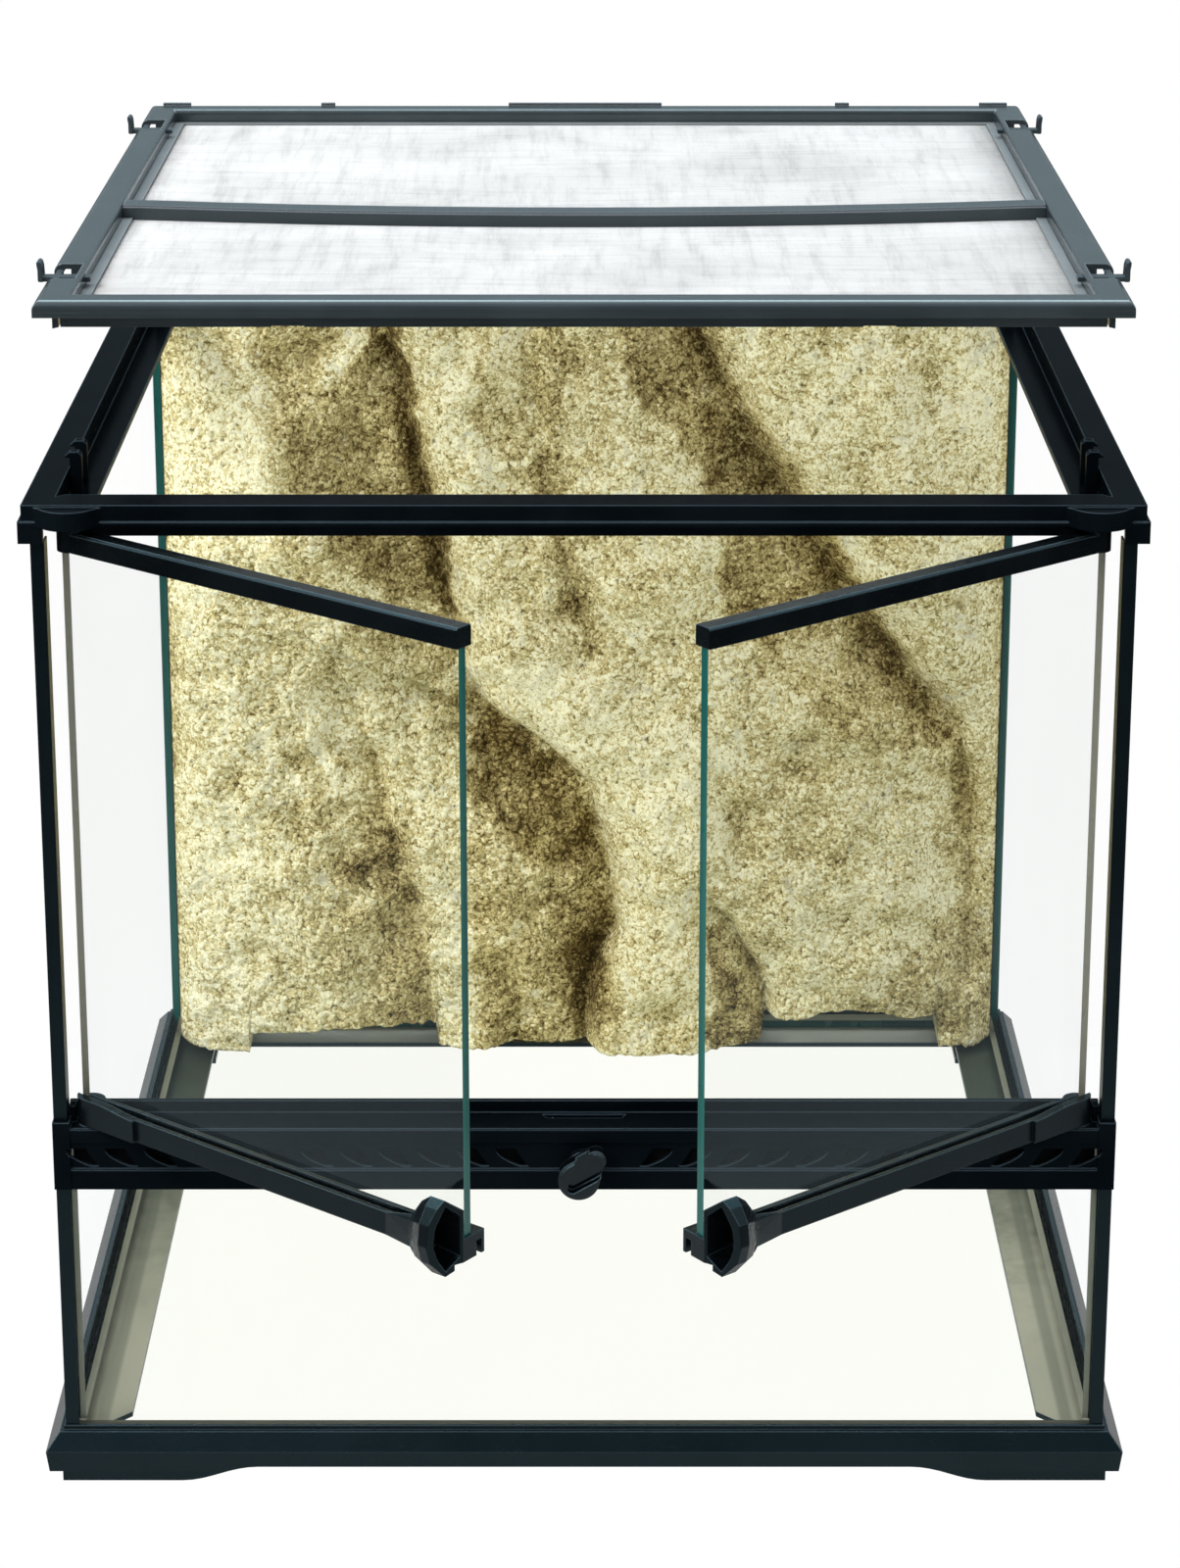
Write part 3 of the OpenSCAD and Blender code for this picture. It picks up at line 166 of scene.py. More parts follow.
class Paint:
    """The node tree of a material or a world, emptied and built up again."""

    def __init__(self, owner):
        self.owner = owner
        owner.use_nodes = True
        self.tree = owner.node_tree
        self.tree.nodes.clear()

    def node(self, kind, settings=None, inputs=None, output=0):
        """Adds a node, makes its settings, then sets or links its inputs."""
        made = self.tree.nodes.new(kind)
        for key, value in (settings or {}).items():
            if key == "stops":
                self.set_stops(made.color_ramp, value)
            else:
                setattr(made, key, value)
        for key, value in (inputs or {}).items():
            if isinstance(value, Wire):
                self.tree.links.new(value.socket, made.inputs[key])
            else:
                made.inputs[key].default_value = value
        return Wire(self, made.outputs[output])

    @staticmethod
    def set_stops(ramp, stops):
        """Gives a colour ramp its (place, colour) stops."""
        while len(ramp.elements) > 1:
            ramp.elements.remove(ramp.elements[-1])
        ramp.elements[0].position = stops[0][0]
        ramp.elements[0].color = stops[0][1]
        for place, colour in stops[1:]:
            ramp.elements.new(place).color = colour

    def facing(self):
        """The surface's normal in the object's own coordinates."""
        return self.node("ShaderNodeTexCoord", output="Normal")

    def axes(self, vector):
        """The three parts of a vector."""
        split = self.node("ShaderNodeSeparateXYZ", None, {0: vector})
        return [Wire(self, socket) for socket in split.socket.node.outputs]

    def vector(self, operation, *values, output=0):
        """Vectors through one Vector Math node."""
        settings = {"operation": operation}
        inputs = dict(enumerate(values))
        return self.node("ShaderNodeVectorMath", settings, inputs, output)

    def stretched(self, vector, *by):
        """A vector with each part multiplied."""
        return self.vector("MULTIPLY", vector, by)

    def along(self, vector, direction):
        """How far a vector reaches along a direction."""
        return self.vector("DOT_PRODUCT", vector, direction, output="Value")

    def noise(self, vector, scale, detail=3.0, rough=0.5, bend=0.0, output=0):
        """Smooth noise of 0 to 1, scale in waves to the metre."""
        inputs = {
            "Vector": vector,
            "Scale": scale,
            "Detail": detail,
            "Roughness": rough,
            "Distortion": bend,
        }
        return self.node("ShaderNodeTexNoise", None, inputs, output)

    def cells(self, vector, scale, output="Distance"):
        """Distance to, or colour of, the nearest of scattered points."""
        inputs = {"Vector": vector, "Scale": scale}
        return self.node("ShaderNodeTexVoronoi", None, inputs, output)

    def ramp(self, value, stops):
        """A colour picked along a ramp by the value."""
        return self.node("ShaderNodeValToRGB", {"stops": stops}, {0: value})

    def mixed(self, share, first, second, blend="MIX"):
        """Two colours mixed, the second by its share."""
        settings = {"data_type": "RGBA", "blend_type": blend}
        return self.node("ShaderNodeMix", settings, {0: share, 6: first, 7: second}, 2)

    def attribute(self, name):
        """A number kept on the mesh's points."""
        return self.node("ShaderNodeAttribute", {"attribute_name": name}, None, "Fac")

    def rounded(self, radius):
        """A normal that softens sharp edges over a radius."""
        return self.node("ShaderNodeBevel", {"samples": 4}, {"Radius": radius})

    def upward_edge_highlight(self, radius):
        """Share of a face that is an edge turned upwards, where a highlight is painted.
        """
        soft = self.rounded(radius)
        flat = self.node("ShaderNodeNewGeometry", None, None, "Normal")
        turned = 1.0 - self.along(soft, flat)
        return turned.step(0.006, 0.08) * self.axes(soft)[2].step(0.15, 0.5)

    def bumped(self, height, distance, strength=1.0, normal=None):
        """A normal tilted by a height, distance in metres for a height of 1."""
        inputs = {"Height": height, "Distance": distance, "Strength": strength}
        if normal is not None:
            inputs["Normal"] = normal
        return self.node("ShaderNodeBump", None, inputs)

    def rays(self, *kinds):
        """For each kind of ray, 1 where such a ray arrives and 0 elsewhere."""
        outputs = self.node("ShaderNodeLightPath").socket.node.outputs
        return [Wire(self, outputs["Is " + kind + " Ray"]) for kind in kinds]

    def surface(self, **inputs):
        """A Principled shader; underscores in names stand for spaces."""
        named = {key.replace("_", " "): value for key, value in inputs.items()}
        return self.node("ShaderNodeBsdfPrincipled", None, named)

    def sky(self, colour, strength):
        """A background shader."""
        inputs = {"Color": colour, "Strength": strength}
        return self.node("ShaderNodeBackground", None, inputs)

    def blended(self, share, first, second):
        """Two shaders mixed, the second by its share."""
        return self.node("ShaderNodeMixShader", None, {0: share, 1: first, 2: second})

    def done(self, shader, kind="Material"):
        """Sends the shader to the tree's output and returns the tree's owner."""
        output = self.tree.nodes.new("ShaderNodeOutput" + kind)
        self.tree.links.new(shader.socket, output.inputs["Surface"])
        return self.owner


# ---------------------------------------------------------------------------
# Settings


def setting(kind, name, description, default, **more):
    """A value that can be set in the sidebar."""
    made = getattr(bpy.props, kind + "Property")
    return made(name=name, description=description, default=default, **more)


def colour_setting(name, part, default):
    """The colour of a part."""
    more = {"subtype": "COLOR", "size": 4, "min": 0.0, "max": 1.0}
    return setting("FloatVector", name, "Colour of " + part, default, **more)


def length_setting(name, description, default, least, most):
    """A length in metres."""
    more = {"min": least, "max": most, "unit": "LENGTH"}
    return setting("Float", name, description, default, **more)


def power_setting(name, description, default):
    """A lamp's power."""
    return setting("Float", name, description, default, min=0.0, subtype="POWER")


def steps_setting(name, description, default):
    """A number of steps of the rock wall's relief."""
    return setting("Int", name, description, default, min=60, max=310)


class TerrariumPlastics(bpy.types.PropertyGroup):
    """Colours and finish of the moulded and extruded plastic."""

    frame_colour: colour_setting("Frame", "the plinth, bar and rim", linear(6, 11, 15))
    door_colour: colour_setting("Doors", "the doors' rails", linear(5, 8, 11))
    knob_colour: colour_setting("Grip", "the lock's polished grip", linear(3, 4, 6))
    lid_colour: colour_setting("Lid", "the lid's extruded rails", linear(49, 57, 61))
    clamp_colour: colour_setting("Clamps", "the screens' clamps", linear(118, 122, 124))
    sheen: colour_setting("Gloss", "what mouldings mirror", (0.5, 0.88, 1.0, 1.0))
    # The ledge's front colour is dust with painted glare; its back colour is painted
    # shade.
    ledge_front_dust_glare: colour_setting("Ledge", "the ledge's front", linear(176, 173, 158))
    ledge_back_shade: colour_setting("Ledge, back", "the ledge's back", linear(58, 60, 48))
    edge_round: length_setting("Rounding", "Radius of edges", 0.0007, 0.0, 0.003)


class TerrariumGlass(bpy.types.PropertyGroup):
    """Tints of the panes and of their ground edges."""

    pane_tint: colour_setting("Pane", "light let through", (0.995, 0.998, 0.996, 1.0))
    edge_dark: colour_setting("Edge", "a pane's ground edge", linear(4, 78, 74))
    edge_light: colour_setting("Glint", "a ground edge's side", linear(28, 112, 102))


class TerrariumScreens(bpy.types.PropertyGroup):
    """The lid's woven screens."""

    pitch: length_setting("Pitch", "From wire to wire", 0.00085, 0.0007, 0.003)
    wire: length_setting("Wire", "Radius of a wire", 0.00012, 0.00005, 0.0003)
    ripple: length_setting("Ripple", "Height of the waves", 0.0007, 0.0, 0.0015)
    colour: colour_setting("Colour", "the wire", linear(221, 220, 220))


class TerrariumRock(bpy.types.PropertyGroup):
    """Relief and colours of the rock wall."""

    columns: steps_setting("Columns", "Steps across the wall", 306)
    rows: steps_setting("Rows", "Steps up the wall", 300)
    grain: length_setting("Grain", "Height of the sand's grains", 0.0006, 0.0, 0.002)
    # light tops the sand where no shade and where light is painted; dark is painted
    # shade in hollows and shaded areas, and stains.
    light: colour_setting("Light sand", "raised parts", linear(255, 252, 216))
    middle: colour_setting("Sand", "most of the rock", linear(216, 202, 142))
    dark: colour_setting("Hollows", "hollows and stains", linear(104, 86, 42))
    grey: colour_setting("Patches", "the grey patches", linear(168, 166, 150))


class TerrariumStudio(bpy.types.PropertyGroup):
    """Floor, lamps and camera."""

    floor_colour: colour_setting("Floor", "the floor", linear(250, 251, 245))
    key: power_setting("Key", "Power of the lamp above and to the left", 62.0)
    fill: power_setting("Fill", "Power of the wide lamp on the right", 9.0)
    camera_place: setting(
        "FloatVector",
        "Camera",
        "Where the camera stands",
        (0.0025, -1.756, 0.880),
        size=3,
        subtype="XYZ",
        unit="LENGTH",
    )
    camera_pitch: setting(
        "Float", "Pitch", "How far the camera looks down", 0.279, unit="ROTATION"
    )
    lens: setting(
        "Float", "Lens", "Focal length on a 36 mm sensor", 89.9, unit="CAMERA"
    )
    shift: setting(
        "Float", "Shift", "Shift of the lens, in heights", -0.18, min=-0.2, max=0.2
    )



# ---------------------------------------------------------------------------
# Materials


def painted(name):
    """A new material's node tree, and the point in the object's coordinates."""
    paint = Paint(bpy.data.materials.new(name))
    return paint, paint.node("ShaderNodeTexCoord", output="Object")


def ledge_dust_and_light(paint, place, body, front, back):
    """The plinth's colour with its ledge's dust and painted light, and where that ledge
    is.
    """
    x, y, z = paint.axes(place)
    lying = paint.axes(paint.facing())[2].step(0.8, 0.95)
    inside = (LEDGE_HALF - abs(x)).step(0.0, 0.0005)
    inside = inside * (LEDGE_HALF - abs(y)).step(0.0, 0.0005)
    flat = lying * inside * (LEDGE_TOP - z).step(0.0, 0.001)
    dust = paint.noise(place, 60.0, 4.0, 0.7)
    # Lighter towards the front with dust and painted glare, darker towards the back
    # with painted shade.
    far = (y + (dust - 0.5) * 0.16).step(-0.16, 0.12)
    tone = paint.mixed(far, front, back)
    groove = 1.0 - abs(abs(x) - LEDGE_GROOVE).step(0.0015, 0.004)
    tone = paint.mixed(groove * 0.45, tone, back)
    body = paint.mixed(flat, body, tone)
    # Painted light: the ledge behind the rock wall, which lies in its shade, is made
    # pale.
    behind = flat * (y - LEDGE_BEHIND).step(0.0, 0.004)
    behind = behind * (LEDGE_BEHIND_HALF - abs(x)).step(0.0, 0.004)
    return paint.mixed(behind, body, linear(214, 214, 210)), flat


def moulded(name, colour, roughness, radius, coat=0.0, gloss=0.3, ledge=None):
    """Moulded plastic: faint mottling, a fine orange-peel bump, soft edges.

    Edges turned upwards get a painted highlight. ledge gives the colours at
    the front and at the back of the plinth's ledge, which is dusty, with
    painted glare at the front and painted shade at the back.
    """
    paint, place = painted(name)
    cloud = paint.noise(place, 26.0, 3.0, 0.55)
    fine = paint.noise(place, 1150.0, 2.0, 0.6)
    peel = paint.noise(place, 420.0, 2.0, 0.5)
    scuff = paint.noise(paint.stretched(place, 1.0, 1.0, 6.0), 95.0, 4.0, 0.65, 0.6)
    pale = scaled(colour, 1.9, 0.002)
    body = paint.mixed(cloud.step(0.34, 0.72) * 0.35, colour, pale)
    body = paint.mixed(fine.step(0.62, 0.8) * 0.25, body, scaled(colour, 0.62))
    dull = roughness + (cloud - 0.5) * 0.09 + scuff.step(0.6, 0.78) * 0.08
    if ledge:
        body, flat = ledge_dust_and_light(paint, place, body, *ledge)
        dull = dull + flat * 0.35
    # Painted highlight: edges turned upwards mixed toward a pale blue-grey.
    edges = paint.upward_edge_highlight(radius * 1.3) * 0.5
    bumps = peel * 0.7 + fine * 0.3
    shader = paint.surface(
        Base_Color=paint.mixed(edges, body, linear(98, 118, 130)),
        Roughness=dull,
        Specular_IOR_Level=gloss,
        Specular_Tint=tuple(bpy.context.scene.terrarium_plastics.sheen),
        Coat_Weight=coat,
        Coat_Roughness=0.08,
        Normal=paint.bumped(bumps, 0.00004, 0.9, paint.rounded(radius)),
    )
    return paint.done(shader)


def extruded(name, colour, roughness, radius):
    """Extruded plastic: draw lines along each rail and a satin face."""
    paint, place = painted(name)
    x, y, _ = paint.axes(place)
    side_rail = (abs(x) - abs(y)).step(-0.004, 0.004)
    across = paint.noise(paint.stretched(place, 14.0, 900.0, 900.0), 1.0, 3.0, 0.6)
    depthwise = paint.noise(paint.stretched(place, 900.0, 14.0, 900.0), 1.0, 3.0, 0.6)
    lines = across * (1.0 - side_rail) + depthwise * side_rail
    cloud = paint.noise(place, 17.0, 3.0, 0.6)
    dust = paint.noise(place, 700.0, 2.0, 0.6)
    pale = scaled(colour, 1.45)
    body = paint.mixed(lines.step(0.35, 0.7) * 0.5, scaled(colour, 0.72), colour)
    body = paint.mixed(cloud.step(0.45, 0.75) * 0.4, body, pale)
    body = paint.mixed(dust.step(0.66, 0.8) * 0.18, body, pale)
    # Painted highlight: edges turned upwards mixed toward a pale grey.
    edges = paint.upward_edge_highlight(radius * 1.3) * 0.5
    shader = paint.surface(
        Base_Color=paint.mixed(edges, body, linear(168, 178, 186)),
        Roughness=roughness + (lines - 0.5) * 0.16,
        Specular_IOR_Level=0.8,
        Specular_Tint=(0.85, 0.95, 1.0, 1.0),
        Normal=paint.bumped(lines, 0.00002, 0.6, paint.rounded(radius)),
    )
    return paint.done(shader)


def pane(name, tint, dark, light, across, most, grey=None):
    """A glass pane: clear faces that mirror at a slant, teal ground edges.

    across is the way that its faces look, and most the share that they mirror
    at the lowest slant. grey is a colour for edges at the tank's own corners.
    """
    paint, place = painted(name)
    turned = abs(paint.along(paint.facing(), across))
    edge = 1.0 - turned.step(0.35, 0.65)
    film = paint.noise(place, 9.0, 3.0, 0.6)
    specks = paint.noise(place, 420.0, 2.0, 0.7)
    haze = film.step(0.5, 0.85) * 0.004 + specks.step(0.74, 0.82) * 0.015
    clear = paint.node("ShaderNodeBsdfTransparent", None, {"Color": tint})
    mirror = paint.surface(
        Base_Color=(0.72, 0.92, 1.0, 1.0),
        Metallic=1.0,
        Roughness=0.015 + film * 0.02,
    )
    slant = paint.node("ShaderNodeLayerWeight", None, {"Blend": 0.5}, "Facing")
    glance = (0.03 + slant**5.0 * 0.9).least(most)
    face = paint.blended((glance + haze).clamped(), clear, mirror)
    wave = paint.along(place, across) * 900.0
    band = paint.noise(paint.stretched(place, 60.0, 60.0, 9.0), 1.0, 2.0, 0.5)
    tone = (wave.math("SINE", wave) * 0.2 + band).clamped().step(0.35, 0.75)
    colour = paint.mixed(tone * 0.35, dark, light)
    if grey:
        corner = abs(paint.axes(place)[0]).step(0.17, 0.18)
        colour = paint.mixed(corner, colour, grey)
    rim = paint.surface(
        Base_Color=colour,
        Roughness=0.22 + band * 0.1,
        Specular_IOR_Level=0.6,
        Normal=paint.bumped(specks, 0.00003, 0.6),
    )
    return paint.done(paint.blended(edge, face, rim))


def cured_silicone(name, colour):
    """A silicone bead: matt, slightly wavy, with dust in it."""
    paint, place = painted(name)
    wave = paint.noise(place, 55.0, 3.0, 0.5)
    dust = paint.noise(place, 900.0, 2.0, 0.6)
    share = wave * 0.5 + dust.step(0.6, 0.8) * 0.3
    shader = paint.surface(
        Base_Color=paint.mixed(share, colour, scaled(colour, 1.6, 0.02)),
        Roughness=0.62 + dust * 0.15,
        Normal=paint.bumped(wave + dust * 0.2, 0.0003, 0.7),
    )
    return paint.done(shader)


def turned_steel(name, colour, roughness):
    """Plain steel with fine tool lines round its parts and small stains."""
    paint, place = painted(name)
    lines = paint.noise(paint.stretched(place, 900.0, 120.0, 900.0), 1.0, 2.0, 0.6)
    stain = paint.noise(place, 140.0, 3.0, 0.6)
    shader = paint.surface(
        Base_Color=paint.mixed(stain.step(0.5, 0.8) * 0.6, colour, scaled(colour, 0.6)),
        Metallic=1.0,
        Roughness=roughness + (lines - 0.5) * 0.2,
        Normal=paint.bumped(lines, 0.00003, 0.8, paint.rounded(0.0003)),
    )
    return paint.done(shader)


def screen_wire(name, colour, metal, gloss=0.5):
    """Pale woven wire: fine creases both ways and a grain along each wire."""
    paint, place = painted(name)
    smudge = paint.noise(place, 14.0, 5.0, 0.65, 0.6)
    down = paint.noise(paint.stretched(place, 160.0, 14.0, 14.0), 1.0, 4.0, 0.7)
    over = paint.noise(paint.stretched(place, 16.0, 210.0, 16.0), 1.0, 4.0, 0.7)
    grain = paint.noise(place, 1600.0, 2.0, 0.6)
    deep = scaled(colour, 0.55)
    share = smudge.step(0.4, 0.75) * 0.34 + down.step(0.42, 0.78) * 0.42
    share = share + over.step(0.44, 0.78) * 0.34
    body = paint.mixed(share.clamped(), colour, deep)
    shader = paint.surface(
        Base_Color=paint.mixed(grain.step(0.55, 0.75) * 0.3, body, deep),
        Metallic=metal,
        Roughness=0.42 + grain * 0.2,
        Specular_IOR_Level=gloss,
        Normal=paint.bumped(grain, 0.00002, 0.6),
    )
    return paint.done(shader)


def sanded_rock(name, look):
    """Sand-coated rock: pale grains, grey patches, stains, and painted shade in gaps
    and hollows.
    """
    paint, place = painted(name)
    hollow = paint.attribute("hollow")
    stain = paint.attribute("stain")
    broad = paint.noise(place, 12.0, 4.0, 0.6, 0.5)
    patch = paint.noise(place, 46.0, 4.0, 0.65, 0.8)
    clump = paint.noise(place, 170.0, 3.0, 0.7)
    sandy = paint.noise(place, 900.0, 3.0, 0.75)
    drift = paint.noise(place, 260.0, output="Color")
    bent = paint.vector("ADD", place, paint.stretched(drift, 0.004, 0.004, 0.004))
    grains = paint.cells(bent, 540.0)
    tint = paint.axes(paint.cells(bent, 540.0, "Color"))[0]
    pits = paint.cells(bent, 120.0)
    light, middle = tuple(look.light), tuple(look.middle)
    dark, grey = tuple(look.dark), tuple(look.grey)
    deepest = scaled(dark, 0.3)
    olive = tuple(a * 0.55 + b * 0.45 for a, b in zip(dark, middle))
    tone = 0.735 + (tint - 0.5) * 0.32 + (clump - 0.5) * 0.5 + (sandy - 0.5) * 1.15
    tone = tone + (broad - 0.5) * 0.45 + (patch - 0.5) * 0.6
    # Painted shade: darker in the gaps between grains.
    tone = tone - grains.step(0.52, 0.95) * 0.34
    # Painted shade in the relief's hollows; stain brings painted shade with some
    # stains, and painted light below 0.
    tone = tone - hollow * 0.14 - stain * 0.44
    stops = (0.0, deepest), (0.2, dark), (0.42, olive), (0.62, middle), (0.84, light)
    body = paint.ramp(tone.clamped(), stops)
    greyed = patch.step(0.54, 0.7) * (1.0 - stain.clamped()) * clump.step(0.42, 0.6)
    body = paint.mixed(greyed * 0.5, body, grey)
    # Painted shade: dark pits, which the bump also sinks.
    shaded_pits = 1.0 - pits.step(0.04, 0.2)
    body = paint.mixed(shaded_pits * clump.step(0.45, 0.6) * 0.8, body, deepest)
    warmed = stain.clamped() * broad.step(0.35, 0.6) * 0.5
    body = paint.mixed(warmed, body, (1.0, 0.93, 0.74, 1.0), "MULTIPLY")
    height = (1.0 - grains) * 0.6 + sandy * 0.4 + clump * 0.8 - shaded_pits * 0.5
    shader = paint.surface(
        Base_Color=body,
        Roughness=0.86 + sandy * 0.1,
        Specular_IOR_Level=0.2,
        Normal=paint.bumped(height, 0.0011, 1.0),
    )
    return paint.done(shader)


def dress(material, *nodes):
    """Gives CAD nodes a material."""
    for name in nodes:
        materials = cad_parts[name].data.materials
        materials.clear()
        materials.append(material)


# ---------------------------------------------------------------------------
# Meshes


def mesh_object(name, points, quads, body, material, triangles=()):
    """An object from arrays of points, four-sided and three-sided faces."""
    mesh = bpy.data.meshes.new(name)
    quads = np.asarray(quads, np.int32).reshape(-1, 4)
    triangles = np.asarray(triangles, np.int32).reshape(-1, 3)
    loops = np.concatenate([quads.ravel(), triangles.ravel()])
    sizes = np.repeat([4, 3], [len(quads), len(triangles)])
    starts = np.cumsum(sizes) - sizes
    mesh.vertices.add(len(points))
    mesh.vertices.foreach_set("co", np.asarray(points, np.float32).ravel())
    mesh.loops.add(len(loops))
    mesh.loops.foreach_set("vertex_index", loops)
    mesh.polygons.add(len(sizes))
    mesh.polygons.foreach_set("loop_start", starts.astype(np.int32))
    mesh.update(calc_edges=True)
    mesh.validate()
    obj = bpy.data.objects.new(name, mesh)
    bpy.context.scene.collection.objects.link(obj)
    mesh.materials.append(material)
    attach(obj, body)
    return obj


def rows_of(*parts):
    """Numbers and arrays side by side, as the rows of one array."""
    return np.stack(np.broadcast_arrays(*parts), -1)


def grid_quads(rows, columns):
    """Faces of a grid of points, rows by columns, numbered row by row."""
    a = np.arange(rows - 1)[:, None] * columns + np.arange(columns - 1)
    return rows_of(a, a + 1, a + 1 + columns, a + columns).reshape(-1, 4)


def wires(starts, ends, height, segments, radius):
    """Straight wires of square section whose middles follow a surface.

    Wire k runs from starts[k] to ends[k]. Its middle at share t of its length
    is start + (end - start) * t, lifted to height(x, y). Its four corners
    stand radius to either side and radius above and below.
    """
    run = ends - starts
    t = np.linspace(0.0, 1.0, segments + 1)[:, None]
    x, y, z = np.moveaxis(starts[:, None] + run[:, None] * t, -1, 0)
    z = height(x, y) + z
    run = run / np.linalg.norm(run, axis=1, keepdims=True)
    side_x, side_y = -run[:, 1:2] * radius, run[:, :1] * radius
    corners = [
        rows_of(x + side_x * out, y + side_y * out, z + radius * up)
        for out, up in ((1, 0), (0, 1), (-1, 0), (0, -1))
    ]
    ring = np.stack(corners, 2)
    k = np.arange(len(starts))[:, None] * (segments + 1) * 4
    s = k[:, :, None] + np.arange(segments)[:, None] * 4
    c = np.arange(4)
    n = (c + 1) % 4
    sides = rows_of(s + c, s + 4 + c, s + 4 + n, s + n).reshape(-1, 4)
    faces = np.concatenate([sides, k + c, k + segments * 4 + c[::-1]])
    return ring.reshape(-1, 3), faces


def joined(parts):
    """Several (points, faces) pairs as one pair."""
    points, faces, start = [], [], 0
    for some_points, some_faces in parts:
        points.append(some_points)
        faces.append(some_faces + start)
        start += len(some_points)
    return np.concatenate(points), np.concatenate(faces)


def boxes(low, high):
    """Boxes from their low corners to their high corners, as one mesh."""
    square = [[0, 0], [1, 0], [1, 1], [0, 1]]
    picks = np.array([[x, y, z] for z in (0, 1) for x, y in square])
    points = low[:, None] + (high - low)[:, None] * picks
    around = [[c, (c + 1) % 4, (c + 1) % 4 + 4, c + 4] for c in range(4)]
    sides = np.array([[0, 3, 2, 1], [4, 5, 6, 7], *around])
    faces = sides + (np.arange(len(low)) * 8)[:, None, None]
    return points.reshape(-1, 3), faces.reshape(-1, 4)


# ---------------------------------------------------------------------------
# The rock wall, in millimetres seen from the front

# Lines and outlines are given by their points, as x, z, x, z and so on.

# A fault is a line with a gentle slope down to it on its left and a steep
# rise on its right: its depth, the width of each side, and the line.
ROCK_FAULTS = (
    (24.0, 48.0, 9.0, (-106, 425, -94, 386, -69, 256, -56, 206)),
    (24.0, 36.0, 10.0, (
        52, 425, 70, 386, 95, 338, 132, 278, 165, 235, 198, 195, 206, 140, 204, 60,
    )),
    (26.0, 38.0, 6.0, (-62, 209, -21, 188, 2, 165, 13, 114, 16, 86, 2, 58, 0, 20)),
    (12.0, 26.0, 8.0, (-120, 205, -111, 176, -86, 86, -83, 30)),
    (7.0, 10.0, 6.0, (-34, 425, -24, 360, -9, 290, 4, 240)),
    (20.0, 13.0, 5.0, (74, 96, 88, 70, 97, 49, 99, 20)),
)
# A ridge is a rounded rise along a line: its height, width and two ends.
ROCK_RIDGES = (
    (9.0, 24.0, (-168, 425), (-160, 340)),
    (9.0, 24.0, (-160, 340), (-135, 300)),
    (5.0, 9.0, (-163, 200), (-138, 145)),
    (9.0, 26.0, (16, 425), (44, 300)),
    (9.0, 17.0, (82, 212), (150, 206)),
    (7.0, 17.0, (150, 206), (188, 186)),
    (8.0, 30.0, (140, 130), (165, 60)),
    (7.0, 26.0, (-150, 120), (-140, 50)),
    (6.0, 22.0, (150, 400), (175, 290)),
    (7.0, 20.0, (48, 190), (40, 60)),
)
# A shade is an area of painted shade on the coat, with some stains, or of
# painted light below 0: its amount, how far its edge fades to each side, and
# its outline.
ROCK_SHADES = (
    (0.40, 4.5, (-170, 424, -124, 424, -134, 392, -156, 370)),
    (0.46, 4.0, (
        -110, 435, -98, 435, -84, 375, -77, 321, -71, 277, -64, 255, -102, 269,
        -131, 299, -146, 332, -156, 370, -127, 386, -115, 403,
    )),
    (0.26, 3.0, (
        -105, 414, -92, 414, -76, 332, -66, 261, -73, 261, -88, 315, -95, 370,
    )),
    (0.20, 5.0, (-127, 266, -64, 250, -65, 214, -73, 206, -102, 233)),
    (0.34, 3.0, (-32, 435, -11, 435, -6, 392, -11, 354, -13, 321, -23, 321, -27, 370)),
    (0.40, 2.5, (-24, 323, -11, 321, -1, 288, 11, 244, 2, 244, -11, 272)),
    (0.25, 2.0, (-55, 414, -48, 414, -48, 348, -53, 348)),
    (0.60, 4.0, (
        14, 435, 52, 435, 72, 392, 96, 354, 120, 315, 139, 277, 72, 261, 67, 315,
        52, 354, 23, 386,
    )),
    (0.40, 4.0, (72, 266, 142, 281, 168, 233, 193, 190, 159, 190, 120, 209, 103, 233)),
    (0.22, 4.0, (142, 283, 156, 266, 202, 195, 217, 141, 207, 141, 178, 190, 149, 239)),
    (0.40, 3.5, (-61, 214, -37, 198, -6, 168, 6, 119, 16, 64, 14, 31, -6, 18, -59, 18)),
    (0.36, 4.0, (-56, 206, -15, 168, -1, 141, -3, 119, -35, 130, -56, 162)),
    (0.34, 3.5, (-11, 102, 11, 75, 15, 42, -3, 29, -15, 70)),
    (0.22, 2.0, (-160, 212, -141, 184, -137, 156, -148, 168, -158, 190)),
    (0.36, 3.5, (
        -122, 162, -102, 152, -90, 97, -78, 18, -100, 18, -105, 70, -119, 119,
    )),
    (0.20, 7.0, (
        -165, 162, -122, 162, -105, 119, -98, 42, -122, 18, -136, 53, -151, 108,
    )),
    (0.60, 2.0, (67, 79, 84, 63, 97, 18, 67, 18)),
    (0.30, 4.0, (139, 31, 168, 70, 202, 108, 203, 30, 178, 27)),
    (0.26, 4.5, (193, 195, 219, 168, 219, 18, 203, 18, 202, 119)),
    (0.16, 5.0, (71, 261, 101, 261, 106, 212, 81, 206, 72, 217)),
    (0.12, 10.0, (77, 195, 120, 206, 130, 141, 91, 119)),
    (-0.16, 6.0, (
        -54, 250, 9, 233, 52, 212, 72, 184, 67, 119, 33, 152, -11, 190, -40, 212,
    )),
    (-0.14, 8.0, (-218, 392, -173, 392, -151, 283, -218, 261)),
    (-0.14, 7.0, (-223, 184, -170, 168, -160, 18, -223, 18)),
    (-0.14, 3.0, (-151, 209, -134, 190, -117, 157, -131, 152)),
    (-0.12, 7.0, (86, 91, 154, 102, 130, 48, 96, 53)),
    (-0.12, 5.0, (-78, 408, -56, 408, -49, 332, -69, 332)),
    (-0.10, 7.0, (81, 408, 149, 414, 178, 354, 120, 348)),
)
